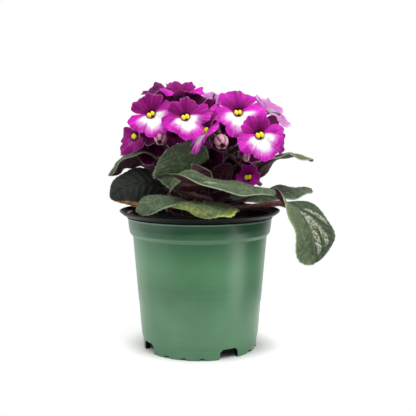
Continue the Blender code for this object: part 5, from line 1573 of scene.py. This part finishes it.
def pot_piece(look, finishes):
    """The pot: one thin formed shell, green outside, black at its lip and inside, with its foot cut out."""
    outer = pot_profile(look)
    line = [Vector((radius, 0.0, height)) for radius, height in outer]
    inner = []
    for number, here in enumerate(line):
        ahead = line[min(number + 1, len(line) - 1)] - line[max(number - 1, 0)]
        inward = Vector((ahead.z, 0.0, -ahead.x)).normalized()
        inner.append(here + inward * POT_WALL)
    inner[0] = line[0] + Vector((-POT_WALL * 0.75, 0, -0.00012))
    inner[-1] = Vector((0.0, 0.0, BASE_HEIGHT + POT_WALL))
    foot = [number for number, point in enumerate(line) if point.z < CREASE_HEIGHT - 0.0001 and point.x > BASE_RADIUS]
    for number in foot:
        inner[number] = None
    inner = [point for point in inner if point is not None]
    low = [point for point in inner if point.z < BASE_HEIGHT + POT_WALL and point.x > 0]
    inner = [point for point in inner if point not in low] + []
    loop = line[:-1] + [Vector((0.0, 0.0, BASE_HEIGHT))] + [Vector((0.0, 0.0, BASE_HEIGHT + POT_WALL))]
    inner = sorted((p for p in inner if p.x > 0), key=lambda p: p.z)
    loop += [Vector((BASE_RADIUS, 0.0, BASE_HEIGHT + POT_WALL))] + inner
    pile = Pile()
    sides, points, faces, wear = look.sides, [], [], []
    rows = []
    for point in loop:
        if point.x < 1e-6:
            rows.append([len(points)])
            points.append((0.0, 0.0, point.z))
            wear.append((0.0, 0.0, 0.0))
            continue
        rows.append(list(range(len(points), len(points) + sides)))
        on_skin = len(rows) <= len(line)
        for i in range(sides):
            a = math.tau * i / sides
            points.append((point.x * math.cos(a), point.x * math.sin(a), point.z))
            wear.append((worn_and_lit_at(point.z, point.x) if on_skin else 0.0, 0.0, 0.0))
    for one, two in zip(rows, rows[1:] + rows[:1]):
        for i in range(sides):
            j = (i + 1) % sides
            if len(one) == 1 and len(two) == 1:
                continue
            if len(one) == 1:
                faces.append([one[0], two[j], two[i]])
            elif len(two) == 1:
                faces.append([one[i], one[j], two[0]])
            else:
                faces.append([one[i], one[j], two[j], two[i]])
    pile.add(points, faces, 0, wear=wear)
    pot = pile.piece("nursery_pot", finishes, "pot", "pot")
    group = bpy.data.collections.new("pot_cutters")
    bpy.context.scene.collection.children.link(group)
    cutters(group)
    cut = pot.modifiers.new("cut_outs", "BOOLEAN")
    cut.operation = "DIFFERENCE"
    cut.operand_type = "COLLECTION"
    cut.collection = group
    bpy.context.view_layer.update()
    mesh = bpy.data.meshes.new_from_object(pot.evaluated_get(bpy.context.evaluated_depsgraph_get()))
    pot.modifiers.clear()
    pot.data = mesh
    for cutter in list(group.objects):
        bpy.data.objects.remove(cutter, do_unlink=True)
    bpy.data.collections.remove(group)
    tones = []
    for face in mesh.polygons:
        centre, normal = face.center - POT_AXIS, face.normal
        radius = math.hypot(centre.x, centre.y)
        outward = (normal.x * centre.x + normal.y * centre.y) / max(radius, 1e-6)
        green = outward > 0.25 and centre.z < COLLAR_TOP_HEIGHT + 0.0003 and radius > 0.037
        tones.append(0 if green else 1)
    mesh.polygons.foreach_set("material_index", tones)
    mesh.set_sharp_from_angle(angle=math.radians(40))
    return pot


def lump(draw, size, stretch):
    """A small angular crumb: the points of a rough ball with its sides pressed unevenly."""
    ball = bmesh.new()
    bmesh.ops.create_icosphere(ball, subdivisions=1, radius=1.0)
    points = np.array([vert.co for vert in ball.verts])
    faces = [[vert.index for vert in face.verts] for face in ball.faces]
    ball.free()
    points = points * draw.uniform(0.65, 1.2, (len(points), 1)) * np.array(stretch) * size
    turn = np.array(Matrix.Rotation(draw.uniform(0, math.tau), 3, Vector(draw.normal(size=3)).normalized()))
    return points @ turn.T, faces


def mix_height(x, y):
    """Height of the lumpy top of the mix."""
    radius = math.hypot(x, y)
    place = Vector((x, y, 0.0))
    height = MIX_TOP_HEIGHT + MIX_MOUND * (1 - radius / MIX_SHOULDER) - 0.0006
    height += 0.0011 * noise.noise(place * 160) + 0.0006 * noise.noise(place * 420) + 0.0003 * noise.noise(place * 1100)
    return min(height, CROWN_FOOT_HEIGHT - 0.0002)


def mix_piece(look, finishes):
    """The peat that fills the pot, with loose crumbs and a few light bits of bark on top."""
    pile = Pile()
    centre = np.array(CROWN_CENTRE)
    inside = POT_WALL + 2 * TOUCH_GAP
    columns = 150
    angles = [math.tau * i / columns for i in range(columns)]
    skirt = [(BASE_RADIUS - 0.001, BASE_HEIGHT + POT_WALL + TOUCH_GAP),
             (WALL_FOOT_RADIUS - inside - 0.0006, WALL_FOOT_HEIGHT + 0.001),
             (WALL_TOP_RADIUS - inside, WALL_TOP_HEIGHT - 0.001), (WALL_TOP_RADIUS - inside, MIX_TOP_HEIGHT - 0.0035)]
    rings = [[(radius * math.cos(a), radius * math.sin(a), height) for a in angles] for radius, height in skirt]
    for share in np.linspace(0.985, 0.0, 46):
        radius = HOLE_RADIUS + (WALL_TOP_RADIUS - inside - HOLE_RADIUS) * share
        shift = centre * (1 - share)
        ring = []
        for a in angles:
            x, y = shift[0] + radius * math.cos(a), shift[1] + radius * math.sin(a)
            ring.append((x, y, mix_height(x, y) - 0.0012 * max(share - 0.93, 0) / 0.055))
        rings.append(ring)
    floor = CROWN_FOOT_HEIGHT - HOLE_DEPTH
    rings.append([(centre[0] + HOLE_RADIUS * math.cos(a), centre[1] + HOLE_RADIUS * math.sin(a), floor) for a in angles])
    pile.add(*lofted(rings), 0)
    draw = np.random.default_rng(11)
    for number in range(look.grains):
        radius = 0.0430 * math.sqrt(draw.uniform(0.045, 1.0))
        a = draw.uniform(0, math.tau)
        x, y = radius * math.cos(a), radius * math.sin(a)
        if math.hypot(x - centre[0], y) < CROWN_RADIUS + 0.001:
            continue
        size = look.grain_size * draw.uniform(0.35, 1.15)
        points, faces = lump(draw, size, (1.0, draw.uniform(0.6, 1.0), draw.uniform(0.4, 0.8)))
        light = 1 if number % 34 == 0 else 0
        pile.add(points + [x, y, mix_height(x, y) + size * 0.12], faces, light)
    for x, y, z, size, stretch in BARK:
        points, faces = lump(draw, size, stretch)
        pile.add(points + [x, y, z], faces, 1)
    return pile.piece("peat_mix", finishes, "potting_mix", "potting_mix")


# Bark bits that lie on the lip's inside at left and on the mix: place, size and stretch
BARK = (
    (-0.0455, -0.0140, 0.0920, 0.0024, (1.2, 0.8, 0.7)),
    (-0.0437, -0.0185, 0.0912, 0.0013, (1.0, 0.9, 0.8)),
    (-0.0478, -0.0085, 0.0922, 0.0012, (1.2, 0.8, 0.7)),
    (-0.0385, -0.0210, 0.0882, 0.0016, (1.2, 0.7, 0.6)),
)


class VIOLET_OT_pot(bpy.types.Operator):
    """Makes the nursery pot"""

    bl_idname = "violet.pot"
    bl_label = "Nursery Pot"

    def execute(self, context):
        look = context.scene.violet_pot
        pot_piece(look, [green_plastic(look), black_plastic(look)])
        return {"FINISHED"}


class VIOLET_OT_mix(bpy.types.Operator):
    """Makes the potting mix"""

    bl_idname = "violet.mix"
    bl_label = "Potting Mix"

    def execute(self, context):
        look = context.scene.violet_mix
        mix_piece(look, [moist_peat(look), bark_bit(look)])
        return {"FINISHED"}


class VIOLET_OT_leaves(bpy.types.Operator):
    """Makes the leaves with their stalks and hairs"""

    bl_idname = "violet.leaves"
    bl_label = "Leaves"

    def execute(self, context):
        look = context.scene.violet_leaf
        stalk = fleshy_stalk("leaf_stalk", (0.085, 0.013, 0.022), (0.26, 0.065, 0.070), (0.08, 0.075, 0.03), 0.30)
        finishes = [hairy_leaf(look), stalk, pale_hair(look)]
        for leaf in LEAVES:
            leaf_piece(leaf, look, finishes)
        return {"FINISHED"}


class VIOLET_OT_blooms(bpy.types.Operator):
    """Makes the petals and pollen sacs of every bloom"""

    bl_idname = "violet.blooms"
    bl_label = "Blooms"

    def execute(self, context):
        look = context.scene.violet_bloom
        petals, sacs = [velvet_petal(look)], [yellow_pollen(look)]
        thin = [velvet_petal(look, "lilac_petal", 0.95, 0.0040)]
        for bloom in BLOOMS:
            corolla_piece(bloom, look, thin if bloom.name in LILAC_BACKS else petals)
            sacs_piece(bloom, sacs)
        return {"FINISHED"}


class VIOLET_OT_stalks(bpy.types.Operator):
    """Makes the crown, flower stalks and calyxes"""

    bl_idname = "violet.stalks"
    bl_label = "Crown and Flower Stalks"

    def execute(self, context):
        look = context.scene.violet_stalk
        stem = fleshy_stalk("flower_stalk", look.dark_colour, look.light_colour, look.green_colour, 0.3)
        calyx = fleshy_stalk("calyx", look.dark_colour, look.light_colour, look.green_colour, 0.85)
        hair, petal = pale_hair(context.scene.violet_leaf), velvet_petal(context.scene.violet_bloom)
        stem_end = fleshy_stalk("crown_stem", (0.05, 0.022, 0.016), (0.15, 0.085, 0.05), look.green_colour, 0.5)
        # The young leaves' weak rim: less painted sheen in the shade of the crown
        crown_piece(look, [stem_end, hairy_leaf(context.scene.violet_leaf, "young_leaf", 0.25), hair])
        for spray in SPRAYS:
            spray_piece(spray, look, [stem, calyx, hair, petal])
        return {"FINISHED"}


class VIOLET_OT_buds(bpy.types.Operator):
    """Makes the buds"""

    bl_idname = "violet.buds"
    bl_label = "Buds"

    def execute(self, context):
        look = context.scene.violet_stalk
        finishes = [folded_petals(look), pale_hair(context.scene.violet_leaf)]
        for bud in BUDS:
            bud_piece(bud, look, finishes)
        return {"FINISHED"}


class VIOLET_OT_stage(bpy.types.Operator):
    """Makes the floor, light and camera"""

    bl_idname = "violet.stage"
    bl_label = "Stage"

    def execute(self, context):
        look = context.scene.violet_stage
        scene = context.scene
        scene.view_settings.view_transform = "Standard"
        camera = bpy.data.objects.new("camera", bpy.data.cameras.new("camera"))
        scene.collection.objects.link(camera)
        camera.location = (-0.0126, -0.4570, 0.1408)
        camera.rotation_euler = (math.pi / 2 - 0.102, 0.0, -0.012)
        camera.data.lens = look.lens
        camera.data.sensor_width = 36.0
        camera.data.clip_start = 0.01
        camera.data.dof.use_dof = False
        scene.camera = camera
        scene.world = softbox_surround(look)
        floor = plain_disc("floor", look.floor_size / 2, -0.00005)
        finish, tree, shader, place = new_finish("pale_floor", look.floor_colour)
        shader.inputs["Base Color"].default_value = (*look.floor_colour, 1.0)
        shader.inputs["Roughness"].default_value = 0.9
        shader.inputs["Specular IOR Level"].default_value = 0.1
        shader.inputs["Emission Color"].default_value = (1.0, 1.0, 1.0, 1.0)
        # The floor's glow fades out under the pot: a painted contact shadow
        flat = tree.nodes.new("ShaderNodeVectorMath")
        flat.operation = "LENGTH"
        tree.links.new(place, flat.inputs[0])
        glow = reckon(tree, "MULTIPLY", rise(tree, flat.outputs["Value"], 0.030, 0.060), look.floor_glow)
        tree.links.new(glow, shader.inputs["Emission Strength"])
        floor.data.materials.append(finish)
        dome = plain_ball("backdrop", 6.0)
        finish, tree, shader, place = new_finish("white_backdrop", (1.0, 1.0, 1.0))
        shader.inputs["Base Color"].default_value = (0.0, 0.0, 0.0, 1.0)
        shader.inputs["Specular IOR Level"].default_value = 0.0
        shader.inputs["Emission Color"].default_value = (1.0, 1.0, 1.0, 1.0)
        shader.inputs["Emission Strength"].default_value = 1.0
        dome.data.materials.append(finish)
        dome.visible_diffuse = dome.visible_glossy = dome.visible_transmission = dome.visible_shadow = False
        aim = POT_AXIS + Vector((0, 0, 0.10))
        for name, place, size, power in (
            ("key", (0.30, -0.42, 0.95), 0.50, look.key_power),
            ("fill", (-0.75, -0.55, 0.45), 0.60, look.fill_power),
        ):
            light = bpy.data.lights.new(name, "AREA")
            light.size = size
            light.energy = power
            lamp = bpy.data.objects.new(name, light)
            scene.collection.objects.link(lamp)
            lamp.location = place
            lamp.rotation_euler = (aim - Vector(place)).to_track_quat("-Z", "Y").to_euler()
        return {"FINISHED"}


def softbox_surround(look):
    """Soft light all round: bright behind, above and at left, with a dark gap at right that a gloss shows."""
    world = bpy.data.worlds.new("softbox_surround")
    world.use_nodes = True
    tree = world.node_tree
    parts = tree.nodes.new("ShaderNodeSeparateXYZ")
    tree.links.new(tree.nodes.new("ShaderNodeTexCoord").outputs["Generated"], parts.inputs[0])
    x, y, z = parts.outputs
    light = reckon(tree, "ADD", look.surround, reckon(tree, "MULTIPLY", rise(tree, y, 0.15, 0.85), 0.65))
    light = reckon(tree, "ADD", light, reckon(tree, "MULTIPLY", rise(tree, z, 0.35, 0.90), 0.55))
    light = reckon(tree, "ADD", light, reckon(tree, "MULTIPLY", rise(tree, x, -0.40, -0.90), 0.35))
    level = rise(tree, z, 0.40, 0.15)
    strip = reckon(tree, "MULTIPLY", rise(tree, x, 0.50, 0.70), rise(tree, y, -0.62, -0.45))
    strip = reckon(tree, "MULTIPLY", reckon(tree, "MULTIPLY", strip, rise(tree, y, -0.05, -0.20)), level)
    light = reckon(tree, "ADD", light, reckon(tree, "MULTIPLY", strip, 3.1))
    left = reckon(tree, "MULTIPLY", rise(tree, x, -0.70, -0.86), level)
    light = reckon(tree, "ADD", light, reckon(tree, "MULTIPLY", left, 0.50))
    gap = reckon(tree, "MULTIPLY", rise(tree, x, 0.45, 0.60), rise(tree, y, -0.10, 0.02))
    gap = reckon(tree, "MULTIPLY", reckon(tree, "MULTIPLY", gap, rise(tree, y, 0.75, 0.55)), level)
    light = reckon(tree, "MULTIPLY", light, reckon(tree, "SUBTRACT", 1.0, reckon(tree, "MULTIPLY", gap, 0.5)))
    tree.links.new(light, tree.nodes["Background"].inputs["Strength"])
    tree.nodes["Background"].inputs["Color"].default_value = (1.0, 1.0, 1.0, 1.0)
    return world


def plain_disc(name, radius, height):
    """A flat round floor."""
    body = bmesh.new()
    bmesh.ops.create_circle(body, cap_ends=True, segments=96, radius=radius)
    mesh = bpy.data.meshes.new(name)
    body.to_mesh(mesh)
    body.free()
    floor = bpy.data.objects.new(name, mesh)
    bpy.context.scene.collection.objects.link(floor)
    floor.location = POT_AXIS + Vector((0, 0, height))
    return floor


def plain_ball(name, radius):
    """A ball that stands round the whole stage as its backdrop."""
    body = bmesh.new()
    bmesh.ops.create_icosphere(body, subdivisions=4, radius=radius)
    mesh = bpy.data.meshes.new(name)
    body.to_mesh(mesh)
    body.free()
    ball = bpy.data.objects.new(name, mesh)
    bpy.context.scene.collection.objects.link(ball)
    return ball


class VIOLET_PT_panel(bpy.types.Panel):
    """Lists the settings and pieces of the potted african violet"""

    bl_idname = "VIOLET_PT_panel"
    bl_label = "Potted African Violet"
    bl_space_type = "VIEW_3D"
    bl_region_type = "UI"
    bl_category = "Violet"

    def draw(self, context):
        for name, group in GROUPS.items():
            box = self.layout.box()
            settings = getattr(context.scene, name)
            for title in group.__annotations__:
                box.prop(settings, title)
        for operator in OPERATORS:
            self.layout.operator(operator.bl_idname)


OPERATORS = (
    VIOLET_OT_stage,
    VIOLET_OT_pot,
    VIOLET_OT_mix,
    VIOLET_OT_stalks,
    VIOLET_OT_leaves,
    VIOLET_OT_blooms,
    VIOLET_OT_buds,
)


def register():
    """Adds the settings, operators and panel to Blender."""
    for group in (*GROUPS.values(), *OPERATORS, VIOLET_PT_panel):
        bpy.utils.register_class(group)
    for name, group in GROUPS.items():
        setattr(bpy.types.Scene, name, PointerProperty(type=group))


def unregister():
    """Takes them away again."""
    for name in GROUPS:
        delattr(bpy.types.Scene, name)
    for group in (VIOLET_PT_panel, *reversed(OPERATORS), *reversed(GROUPS.values())):
        bpy.utils.unregister_class(group)


def main():
    """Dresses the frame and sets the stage."""
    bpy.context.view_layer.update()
    register()
    bpy.ops.violet.stage()
    bpy.ops.violet.pot()
    bpy.ops.violet.mix()
    bpy.ops.violet.stalks()
    bpy.ops.violet.leaves()
    bpy.ops.violet.blooms()
    bpy.ops.violet.buds()


if __name__ == "__main__":
    main()
